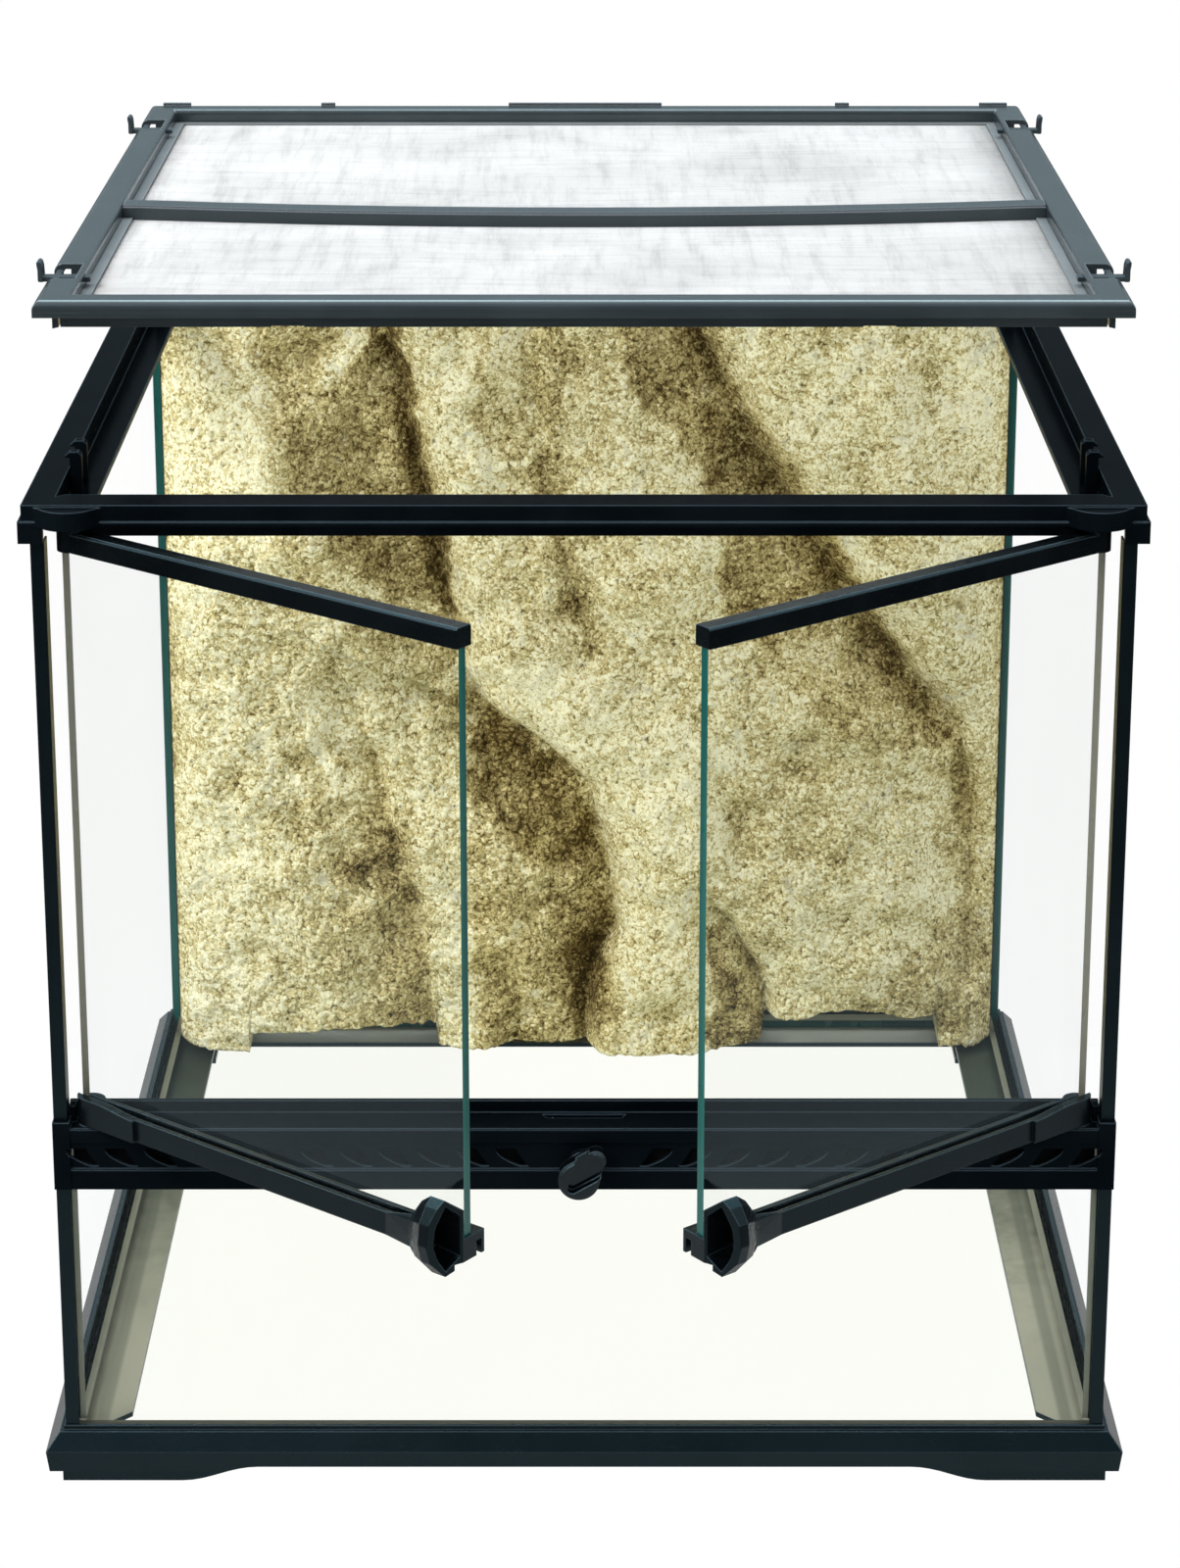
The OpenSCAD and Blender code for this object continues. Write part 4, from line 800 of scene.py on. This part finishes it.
# A shadow is a dark line at a fault: its amount, the width of each side, and
# the line.
ROCK_SHADOWS = (
    (0.34, 12.0, 3.0, (-104, 425, -91, 395, -83, 340, -78, 310, -69, 258)),
    (0.26, 12.0, 3.0, (62, 425, 75, 395, 90, 365, 106, 345, 134, 290)),
    (0.24, 16.0, 3.0, (134, 290, 165, 235, 190, 200, 200, 170, 206, 130)),
    (0.34, 16.0, 3.0, (-64, 212, -28, 186, -10, 175, 8, 118, 13, 90, 2, 40)),
    (0.40, 12.0, 2.0, (72, 84, 85, 71, 93, 52, 98, 22)),
    (0.24, 14.0, 4.0, (-112, 185, -98, 130, -88, 80, -82, 25)),
)
# A cable outlet is a notch in the foot: its two ends and its height.
OUTLETS = ((-178.0, -80.0, 13.0), (96.0, 188.0, 20.0))
# How far up the wall the outlets still lift the relief's rows
FOOT_REACH = 55.0
# Thickness of the wall at its sides, of its thinnest hollow, and of the
# thinnest place once the sand is on
EDGE_THICK = 20.0
LEAST_THICK = 12.0
LEAST_COATED = 10.0


def points_of(line):
    """The points of a line or an outline."""
    return list(zip(line[::2], line[1::2]))


def from_line(x, z, a, b):
    """Distance to a line's nearest point, and on which side of it one is."""
    dx, dz = b[0] - a[0], b[1] - a[1]
    t = ((x - a[0]) * dx + (z - a[1]) * dz) / (dx * dx + dz * dz)
    t = np.clip(t, 0.0, 1.0)
    gap = np.hypot(x - a[0] - t * dx, z - a[1] - t * dz)
    return gap, dx * (z - a[1]) - dz * (x - a[0])


def beside(x, z, line):
    """Distance to the nearest part of a line, and on which side of it."""
    best = np.full(np.shape(x), 1e9)
    side = np.zeros(np.shape(x))
    points = points_of(line)
    for a, b in zip(points, points[1:]):
        gap, hand = from_line(x, z, a, b)
        side = np.where(gap < best, hand, side)
        best = np.minimum(gap, best)
    return best, side


def rock_depth(x, z, half, most):
    """Thickness of the rock wall at x across and z up.

    The wall rises from its edge to 24 mm more within some 14 mm, with two
    long waves. A fault cuts into that by an exponential of the distance from
    its line, and a ridge adds a bell.
    """
    rise = 1.0 - np.exp(-(half - np.abs(x)) / 14.0)
    level = 24.0 + 2.6 * np.sin(x / 31.0 + 1.3) * np.cos(z / 43.0 + 0.4)
    level = level + 1.8 * np.sin((x + 0.6 * z) / 17.0)
    for depth, left, right, line in ROCK_FAULTS:
        best, side = beside(x, z, line)
        level = level - depth * np.exp(-best / np.where(side > 0, right, left))
    for height, width, a, b in ROCK_RIDGES:
        gap, _ = from_line(x, z, a, b)
        level = level + height * np.exp(-((gap / width) ** 2))
    return np.clip(EDGE_THICK + rise * level, LEAST_THICK, most)


def within(x, z, outline, soft):
    """1 inside an outline and 0 outside, fading over soft to each side."""
    gap = np.full(np.shape(x), 1e9)
    inside = np.zeros(np.shape(x), bool)
    points = points_of(outline)
    for a, b in zip(points, points[1:] + points[:1]):
        gap = np.minimum(gap, from_line(x, z, a, b)[0])
        if a[1] != b[1]:
            crossing = a[0] + (z - a[1]) * (b[0] - a[0]) / (b[1] - a[1])
            inside ^= ((a[1] > z) != (b[1] > z)) & (x < crossing)
    share = np.clip(0.5 + np.where(inside, gap, -gap) / (2.0 * soft), 0.0, 1.0)
    return share * share * (3.0 - 2.0 * share)


def rock_shade(x, z):
    """Painted shade, with stains, on the rock wall at x across and z up; light below 0.
    """
    total = np.zeros(np.shape(x))
    for amount, soft, outline in ROCK_SHADES:
        total = total + amount * within(x, z, outline, soft)
    for amount, left, right, line in ROCK_SHADOWS:
        best, side = beside(x, z, line)
        width = np.where(side > 0, right, left)
        total = total + amount * np.exp(-((best / width) ** 2))
    return total


def rough_field(x, z, seed, longest, shortest, waves):
    """Rough ground: a sum of waves in random directions.

    Wavelengths run from longest to shortest, and a wave's height falls in
    step with its length. The result has a spread of 1.
    """
    rng = np.random.default_rng(seed)
    lengths = longest * (shortest / longest) ** rng.random(waves)
    angles = rng.random(waves) * math.tau
    phases = rng.random(waves) * math.tau
    total = np.zeros(np.shape(x))
    for length, angle, phase in zip(lengths, angles, phases):
        along = x * math.cos(angle) + z * math.sin(angle)
        total += length * np.sin(along * math.tau / length + phase)
    return total / (np.std(total) + 1e-9)


def smoothed(field, passes):
    """A grid averaged with its neighbours a number of times."""
    out = field.copy()
    for _ in range(passes):
        padded = np.pad(out, 1, mode="edge")
        rows = padded[:-2, 1:-1] + padded[2:, 1:-1]
        columns = padded[1:-1, :-2] + padded[1:-1, 2:]
        out = (out * 2.0 + rows + columns) / 6.0
    return out


def outlet_foot(across, foot):
    """Height of the wall's lower edge, which rises raggedly over each outlet."""
    ragged = rough_field(across, across * 0.0, 11, 60.0, 6.0, 24)
    foot_at = np.full(len(across), foot)
    for start, end, rise in OUTLETS:
        inside = (across >= start) & (across <= end)
        shape = 1.0 - 0.12 * np.cos((across - start) / (end - start) * math.tau)
        foot_at = np.where(inside, foot + rise * shape + ragged * 0.7, foot_at)
    return foot_at


def hollows(smooth, full, passes=60):
    """Where the wall lies behind what is round it, coarsely and finely."""
    broad = smoothed(smooth, passes)
    wide = smoothed(broad, passes * 4)
    sunk = np.clip((wide - broad) / 9.0, 0.0, 1.0)
    near = np.clip((broad - full) / 2.5, 0.0, 1.0)
    return np.clip(sunk * 0.85 + near * 0.35, 0.0, 1.0)


def closed_skin(columns, rows):
    """Faces of the relief's grid, and of the strips that close it behind.

    After the grid's points come a row of points along the wall's foot and one
    along its top, both on its flat back.
    """
    foot, top = rows * columns, (rows + 1) * columns
    upper, end = foot - columns, columns - 1
    c = np.arange(end)
    quads = [grid_quads(rows, columns)]
    for below, above in ((upper, top), (top, foot), (foot, 0)):
        quads.append(rows_of(below + c, below + c + 1, above + c + 1, above + c))
    r = np.arange(rows - 1) * columns
    left = rows_of(foot, r + columns, r)
    right = rows_of(foot + end, r + end, r + columns + end)
    tips = [[foot, top, upper], [foot + end, upper + end, top + end]]
    return np.concatenate(quads), np.concatenate([left, right, tips])


def relief(low, high, look):
    """The wall's points, how hollow each is, and its painted shade and light and
    stains.

    The front is a grid: x runs across, with a column at each outlet's edge,
    and each column's z runs from the foot to the top. Its y stands in front
    of the flat back by rock_depth, plus rough ground of 12 to 70 mm waves,
    sunk where the coat is shaded, and sand of 3 to 7 mm waves.
    """
    half, rear = high[0] / MM, high[1] / MM
    foot, top = low[2] / MM, high[2] / MM
    most = rear - low[1] / MM
    columns, rows = look.columns, look.rows
    marks = [-half, *(x for outlet in OUTLETS for x in outlet[:2]), half]
    spots = [round((x + half) / (2.0 * half) * (columns - 1)) for x in marks]
    across = np.interp(np.arange(columns), spots, marks)
    foot_at = outlet_foot(across, foot)
    share = np.linspace(0.0, 1.0, rows)[:, None]
    x = np.broadcast_to(across, (rows, columns)).copy()
    near_foot = np.clip(1.0 - share * (top - foot) / FOOT_REACH, 0.0, 1.0)
    z = foot + (top - foot) * share + (foot_at - foot) * near_foot
    depth = rock_depth(x, z, half, most)
    rise = 1.0 - np.exp(-(half - np.abs(x)) / 6.0)
    ground = rough_field(x, z, 3, 70.0, 12.0, 90) * 2.1
    sand = rough_field(x, z, 5, 7.0, 3.0, 160) * look.grain / MM
    drift = rough_field(x, z, 29, 40.0, 9.0, 60)
    shade = rock_shade(x + drift * 2.2, z + np.roll(drift, 37, axis=1) * 2.2)
    ground = ground - 2.6 * np.clip(shade, -0.6, 0.8)
    full = np.clip(depth + (ground + sand) * rise, LEAST_COATED, most)
    hollow = hollows(depth + ground * rise, full)
    # stain carries rock_shade's painted shade with some stains, and painted light below
    # 0.
    stain = np.clip(shade + drift * 0.04, -0.3, 1.0)
    front = rows_of(x, rear - full, z).reshape(-1, 3)
    back = [rows_of(across, rear, foot_at), rows_of(across, rear, top)]
    points = np.concatenate([front, *back]) * MM
    plain = np.zeros(2 * columns)
    marked = [np.concatenate([field.ravel(), plain]) for field in (hollow, stain)]
    return points, *marked


def weave(low, high, front, look):
    """Two layers of straight wires on a sheet that sags to the crossbar.

    The sheet lies flat on the rails' seats. From there its height falls to
    the crossbar's bow, as the share of the way there times
    1 - (x / reach) squared, with long ripples that die away at its edges.
    """
    sag = high[2] - low[2] - 0.0004
    half, top = high[0], high[2] - 0.0002
    reach = half - BOW_SHORT
    y_rail, y_bar = (low[1], high[1]) if front else (high[1], low[1])
    y_seat = y_rail + math.copysign(SEAT, y_bar - y_rail)

    def height(x, y):
        share = np.clip((y - y_seat) / (y_bar - y_seat), 0.0, 1.0)
        bow = -sag * np.clip(1.0 - (x / reach) ** 2, 0.0, 1.0) * share
        calm = np.clip(share * (1.0 - share) * 6.0, 0.0, 1.0)
        calm = calm * np.clip((half - np.abs(x)) / 0.03, 0.0, 1.0)
        wave = np.sin(x * 47.0 + y * 13.0) + 0.7 * np.sin(x * 21.0 - y * 57.0 + 1.0)
        return top + bow + look.ripple * 0.5 * calm * wave

    xs = np.arange(low[0] + look.pitch / 2, high[0], look.pitch)
    ys = np.arange(low[1] + look.pitch / 2, high[1], look.pitch)
    lift = look.wire * 0.6
    starts, ends = rows_of(low[0], ys, lift), rows_of(high[0], ys, lift)
    across = wires(starts, ends, height, 16, look.wire)
    starts, ends = rows_of(xs, low[1], -lift), rows_of(xs, high[1], -lift)
    return joined([across, wires(starts, ends, height, 10, look.wire)])


def vent_threads(low, high):
    """Upright and level threads of the vent's strip, as thin boxes.

    They stand a pitch apart, on two layers, and stop at a round hole for the
    lock's spindle.
    """
    middle = (low[1] + high[1]) / 2
    xs = np.arange(low[0] + VENT_PITCH / 2, high[0], VENT_PITCH)
    zs = np.arange(low[2] + VENT_PITCH / 2, high[2], VENT_PITCH)

    def threads(x0, x1, y, z0, z1):
        start = rows_of(x0, y - VENT_THIN, z0)
        return boxes(start, rows_of(x1, y + VENT_THIN, z1))

    def upright(x, foot):
        return threads(x - VENT_HALF, x + VENT_HALF, middle + 0.0001, foot, high[2])

    beside_hole = np.abs(xs) > SPINDLE_HOLE
    near = xs[~beside_hole]
    foot = SPINDLE_Z + np.sqrt(SPINDLE_HOLE**2 - near**2)
    above = foot < high[2] - 0.0003
    parts = [upright(xs[beside_hole], low[2]), upright(near[above], foot[above])]
    reach = np.sqrt(np.clip(SPINDLE_HOLE**2 - (zs - SPINDLE_Z) ** 2, 0.0, None))
    z0, z1 = zs - VENT_HALF, zs + VENT_HALF
    parts.append(threads(low[0], -reach, middle - 0.0001, z0, z1))
    parts.append(threads(reach, high[0], middle - 0.0001, z0, z1))
    return joined(parts)


# ---------------------------------------------------------------------------
# Studio


def lay_floor(scene, colour, reach=9.0):
    """A wide pale floor, white to the camera and in mirrors near the tank."""
    mesh = bpy.data.meshes.new("studio_floor")
    signs = ((-1, -1), (1, -1), (1, 1), (-1, 1))
    corners = [(reach * x, reach * y, 0) for x, y in signs]
    mesh.from_pydata(corners, [], [(0, 1, 2, 3)])
    floor = bpy.data.objects.new("studio_floor", mesh)
    scene.collection.objects.link(floor)
    paint, place = painted("studio_floor")
    weave = paint.noise(place, 3.0, 2.0, 0.5)
    plain = paint.surface(
        Base_Color=paint.mixed(weave * 0.06, colour, (0.9, 0.9, 0.88, 1.0)),
        Roughness=0.9,
        Specular_IOR_Level=0.1,
    )
    away = paint.vector("LENGTH", place, output="Value")
    near = (1.0 - away.step(0.2, 1.25)) * 0.75 + 0.03
    camera, passing, mirrored = paint.rays("Camera", "Transmission", "Glossy")
    seen = camera.most(passing)
    glow = (seen + mirrored * near).least(1.0)
    inputs = {"Color": WHITE, "Strength": glow}
    bright = paint.node("ShaderNodeEmission", None, inputs)
    mesh.materials.append(paint.done(paint.blended(seen.most(mirrored), plain, bright)))


def hang_lamps(scene, look):
    """Three soft lamps: above on the left, wide on the right, and behind."""
    lamps = (
        ("key_lamp", (-1.7, -1.1, 2.2), (0.0, 0.1, 0.25), 1.3, look.key),
        ("fill_lamp", (1.9, -1.2, 1.2), (0.0, 0.0, 0.3), 1.8, look.fill),
        ("top_lamp", (0.2, 0.5, 2.6), (0.0, 0.0, 0.3), 2.0, look.key * 0.3),
    )
    for name, place, aim, size, power in lamps:
        data = bpy.data.lights.new(name, "AREA")
        data.shape = "SQUARE"
        data.size = size
        data.energy = power
        lamp = bpy.data.objects.new(name, data)
        scene.collection.objects.link(lamp)
        lamp.location = place
        x, y, z = np.array(aim) - np.array(place)
        lamp.rotation_euler = (math.atan2(math.hypot(x, y), -z), 0.0, math.atan2(-x, y))


def light_world(scene):
    """White to the camera, a soft sky for the rest and dim walls for mirrors.

    The walls have one bright band high up, and are brighter behind the tank.
    """
    paint = Paint(bpy.data.worlds.new("studio"))
    _, y, z = paint.axes(paint.node("ShaderNodeTexCoord", output="Generated"))
    levels = {0.0: 0.05, 0.6: 0.07, 0.72: 0.1, 0.78: 1.0, 0.88: 1.0, 0.94: 0.12}
    stops = [(at, (v * 0.72, v * 0.92, v, 1.0)) for at, v in levels.items()]
    soft = paint.sky((0.97, 0.985, 1.0, 1.0), z.step(-0.15, 0.9) * 0.4 + 0.3)
    walls = paint.sky(paint.ramp(z, stops), y.step(-0.3, 0.2) * 7.0 + 1.0)
    camera, passing, mirrored = paint.rays("Camera", "Transmission", "Glossy")
    lit = paint.blended(mirrored, soft, walls)
    shader = paint.blended(camera.most(passing), lit, paint.sky(WHITE, 1.0))
    scene.world = paint.done(shader, "World")


def set_camera(scene, look):
    """A long lens from the front and above."""
    data = bpy.data.cameras.new("camera")
    data.sensor_width = 36.0
    data.lens = look.lens
    data.shift_y = look.shift
    data.clip_end = 60.0
    camera = bpy.data.objects.new("camera", data)
    scene.collection.objects.link(camera)
    camera.location = tuple(look.camera_place)
    camera.rotation_euler = (math.pi / 2 - look.camera_pitch, 0.0, 0.0)
    scene.camera = camera


# ---------------------------------------------------------------------------
# Operators


class TERRARIUM_OT_frame_plastic(bpy.types.Operator):
    """Finish the plinth, the vent bar, the rim and the edge trims"""

    bl_idname = "terrarium.frame_plastic"
    bl_label = "Frame plastic"

    def execute(self, context):
        look = context.scene.terrarium_plastics
        colour, radius = tuple(look.frame_colour), look.edge_round
        made = moulded("frame_plastic", colour, 0.22, radius, gloss=0.004)
        dress(made, "vent_bar", "top_frame", "lid_catches")
        ledge = (tuple(look.ledge_front_dust_glare), tuple(look.ledge_back_shade))
        plinth = moulded("plinth_plastic", colour, 0.27, radius, ledge=ledge)
        dress(plinth, "base_frame")
        trim = moulded("trim_plastic", colour, 0.36, 0.0003)
        dress(trim, "left_edge_trim", "right_edge_trim")
        dress(moulded("clip_plastic", colour, 0.45, 0.0003), "vent_mesh_clip")
        return {"FINISHED"}


class TERRARIUM_OT_door_plastic(bpy.types.Operator):
    """Finish the door rails with their pulls"""

    bl_idname = "terrarium.door_plastic"
    bl_label = "Door rails"

    def execute(self, context):
        look = context.scene.terrarium_plastics
        made = moulded("door_plastic", tuple(look.door_colour), 0.27, look.edge_round)
        for side in ("left", "right"):
            dress(made, side + "_top_rail", side + "_bottom_rail")
        return {"FINISHED"}


class TERRARIUM_OT_lock(bpy.types.Operator):
    """Finish the lock's grip, spindle, cam and clip, and the hinge pins"""

    bl_idname = "terrarium.lock"
    bl_label = "Lock and pins"

    def execute(self, context):
        colour = tuple(context.scene.terrarium_plastics.knob_colour)
        dress(moulded("grip_plastic", colour, 0.16, 0.0009, 0.4), "lock_knob")
        steel = turned_steel("pin_steel", linear(176, 178, 182), 0.34)
        dress(steel, "lock_spindle", "lock_cam", "lock_clip")
        for side in ("left", "right"):
            dress(steel, side + "_top_pin", side + "_bottom_pin")
        return {"FINISHED"}


class TERRARIUM_OT_lid_plastic(bpy.types.Operator):
    """Finish the lid's rails, crossbar, screen clamps and latches"""

    bl_idname = "terrarium.lid_plastic"
    bl_label = "Lid rails and latches"

    def execute(self, context):
        look = context.scene.terrarium_plastics
        colour, radius = tuple(look.lid_colour), look.edge_round
        dress(extruded("lid_plastic", colour, 0.24, radius), "lid_frame")
        dress(extruded("crossbar_plastic", colour, 0.34, radius), "lid_crossbar")
        clamp = extruded("clamp_plastic", tuple(look.clamp_colour), 0.5, 0.0003)
        dress(clamp, "front_mesh_clamp", "rear_mesh_clamp")
        latch = moulded("latch_plastic", linear(46, 52, 56), 0.34, 0.0005)
        for end in ("front", "rear"):
            dress(latch, end + "_left_latch", end + "_right_latch")
        return {"FINISHED"}


class TERRARIUM_OT_glass(bpy.types.Operator):
    """Finish the panes, clear on their faces and teal on their edges"""

    bl_idname = "terrarium.glass"
    bl_label = "Glass"

    def execute(self, context):
        look = context.scene.terrarium_glass
        edges = tuple(look.edge_dark), tuple(look.edge_light)
        sideways, forwards, upwards = (1.0, 0.0, 0.0), (0.0, 1.0, 0.0), (0.0, 0.0, 1.0)
        out, along = math.sin(DOOR_OPEN), math.cos(DOOR_OPEN)
        ways = {
            "floor_glass": upwards,
            "back_glass": forwards,
            "window_glass": forwards,
            "left_glass": sideways,
            "right_glass": sideways,
            "left_door_glass": (out, along, 0.0),
            "right_door_glass": (-out, along, 0.0),
        }
        for node, across in ways.items():
            floor = node == "floor_glass"
            tint = (0.995, 0.998, 0.968, 1.0) if floor else tuple(look.pane_tint)
            grey = linear(128, 126, 114) if "door" in node else None
            most = CLEAR_PANES.get(node, MIRROR_MOST)
            dress(pane(node + "_look", tint, *edges, across, most, grey), node)
        return {"FINISHED"}


class TERRARIUM_OT_silicone(bpy.types.Operator):
    """Finish the silicone beads"""

    bl_idname = "terrarium.silicone"
    bl_label = "Silicone"

    def execute(self, context):
        grey = cured_silicone("grey_silicone", linear(112, 114, 100))
        dress(grey, "floor_seam", "window_seams")
        dress(cured_silicone("black_silicone", linear(30, 33, 36)), "corner_seams")
        return {"FINISHED"}


class TERRARIUM_OT_lid_screens(bpy.types.Operator):
    """Weave the lid's two screens"""

    bl_idname = "terrarium.lid_screens"
    bl_label = "Lid screens"

    def execute(self, context):
        look = context.scene.terrarium_screens
        made = screen_wire("screen_wire", tuple(look.colour), 0.15)
        for end in ("front", "rear"):
            node = end + "_mesh"
            low, high = corners_of(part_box(node))
            points, faces = weave(low, high, end == "front", look)
            piece = mesh_object(end + "_screen", points, faces, "lid", made)
            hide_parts(node)
        return {"FINISHED"}


class TERRARIUM_OT_vent_weave(bpy.types.Operator):
    """Weave the strip behind the vent bar's slots"""

    bl_idname = "terrarium.vent_weave"
    bl_label = "Vent screen"

    def execute(self, context):
        low, high = corners_of(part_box("vent_mesh"))
        points, faces = vent_threads(low, high)
        made = screen_wire("vent_wire", linear(5, 7, 9), 0.0, 0.05)
        piece = mesh_object("vent_screen", points, faces, "tank", made)
        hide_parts("vent_mesh")
        return {"FINISHED"}


class TERRARIUM_OT_rock(bpy.types.Operator):
    """Raise the rock wall's relief and coat it with sand"""

    bl_idname = "terrarium.rock"
    bl_label = "Rock wall"

    def execute(self, context):
        look = context.scene.terrarium_rock
        low, high = corners_of(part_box("rock_background"))
        points, hollow, stain = relief(low, high, look)
        quads, triangles = closed_skin(look.columns, look.rows)
        made = sanded_rock("sanded_rock", look)
        piece = mesh_object("rock_wall", points, quads, "tank", made, triangles)
        # hollow and stain bring painted shade, and stain also painted light and stains,
        # to the material.
        for name, values in (("hollow", hollow), ("stain", stain)):
            layer = piece.data.attributes.new(name, "FLOAT", "POINT")
            layer.data.foreach_set("value", values.astype(np.float32))
        smooth = np.ones(len(piece.data.polygons), dtype=bool)
        piece.data.polygons.foreach_set("use_smooth", smooth)
        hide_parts("rock_background")
        return {"FINISHED"}


class TERRARIUM_OT_studio(bpy.types.Operator):
    """Lay the floor, hang the lamps and set up the camera"""

    bl_idname = "terrarium.studio"
    bl_label = "Studio"

    def execute(self, context):
        scene = context.scene
        look = scene.terrarium_studio
        lay_floor(scene, tuple(look.floor_colour))
        hang_lamps(scene, look)
        light_world(scene)
        set_camera(scene, look)
        scene.view_settings.view_transform = "Standard"
        return {"FINISHED"}


class TERRARIUM_PT_panel(bpy.types.Panel):
    """Steps that dress the terrarium"""

    bl_idname = "TERRARIUM_PT_panel"
    bl_label = "Terrarium"
    bl_space_type = "VIEW_3D"
    bl_region_type = "UI"
    bl_category = "Terrarium"

    def draw(self, context):
        for step in STEPS:
            self.layout.operator(step.bl_idname)


SETTINGS = {
    "terrarium_plastics": TerrariumPlastics,
    "terrarium_glass": TerrariumGlass,
    "terrarium_screens": TerrariumScreens,
    "terrarium_rock": TerrariumRock,
    "terrarium_studio": TerrariumStudio,
}
STEPS = (
    TERRARIUM_OT_frame_plastic,
    TERRARIUM_OT_door_plastic,
    TERRARIUM_OT_lock,
    TERRARIUM_OT_lid_plastic,
    TERRARIUM_OT_glass,
    TERRARIUM_OT_silicone,
    TERRARIUM_OT_lid_screens,
    TERRARIUM_OT_vent_weave,
    TERRARIUM_OT_rock,
    TERRARIUM_OT_studio,
)


def register():
    """Registers the settings, the steps and the panel."""
    for name, group in SETTINGS.items():
        bpy.utils.register_class(group)
        setattr(bpy.types.Scene, name, bpy.props.PointerProperty(type=group))
    for step in STEPS:
        bpy.utils.register_class(step)
    bpy.utils.register_class(TERRARIUM_PT_panel)


def unregister():
    """Takes the panel, the steps and the settings away again."""
    bpy.utils.unregister_class(TERRARIUM_PT_panel)
    for step in reversed(STEPS):
        bpy.utils.unregister_class(step)
    for name, group in SETTINGS.items():
        delattr(bpy.types.Scene, name)
        bpy.utils.unregister_class(group)


def main():
    """Dresses the whole terrarium."""
    register()
    for step in STEPS:
        group, name = step.bl_idname.split(".")
        getattr(getattr(bpy.ops, group), name)()


if __name__ == "__main__":
    main()
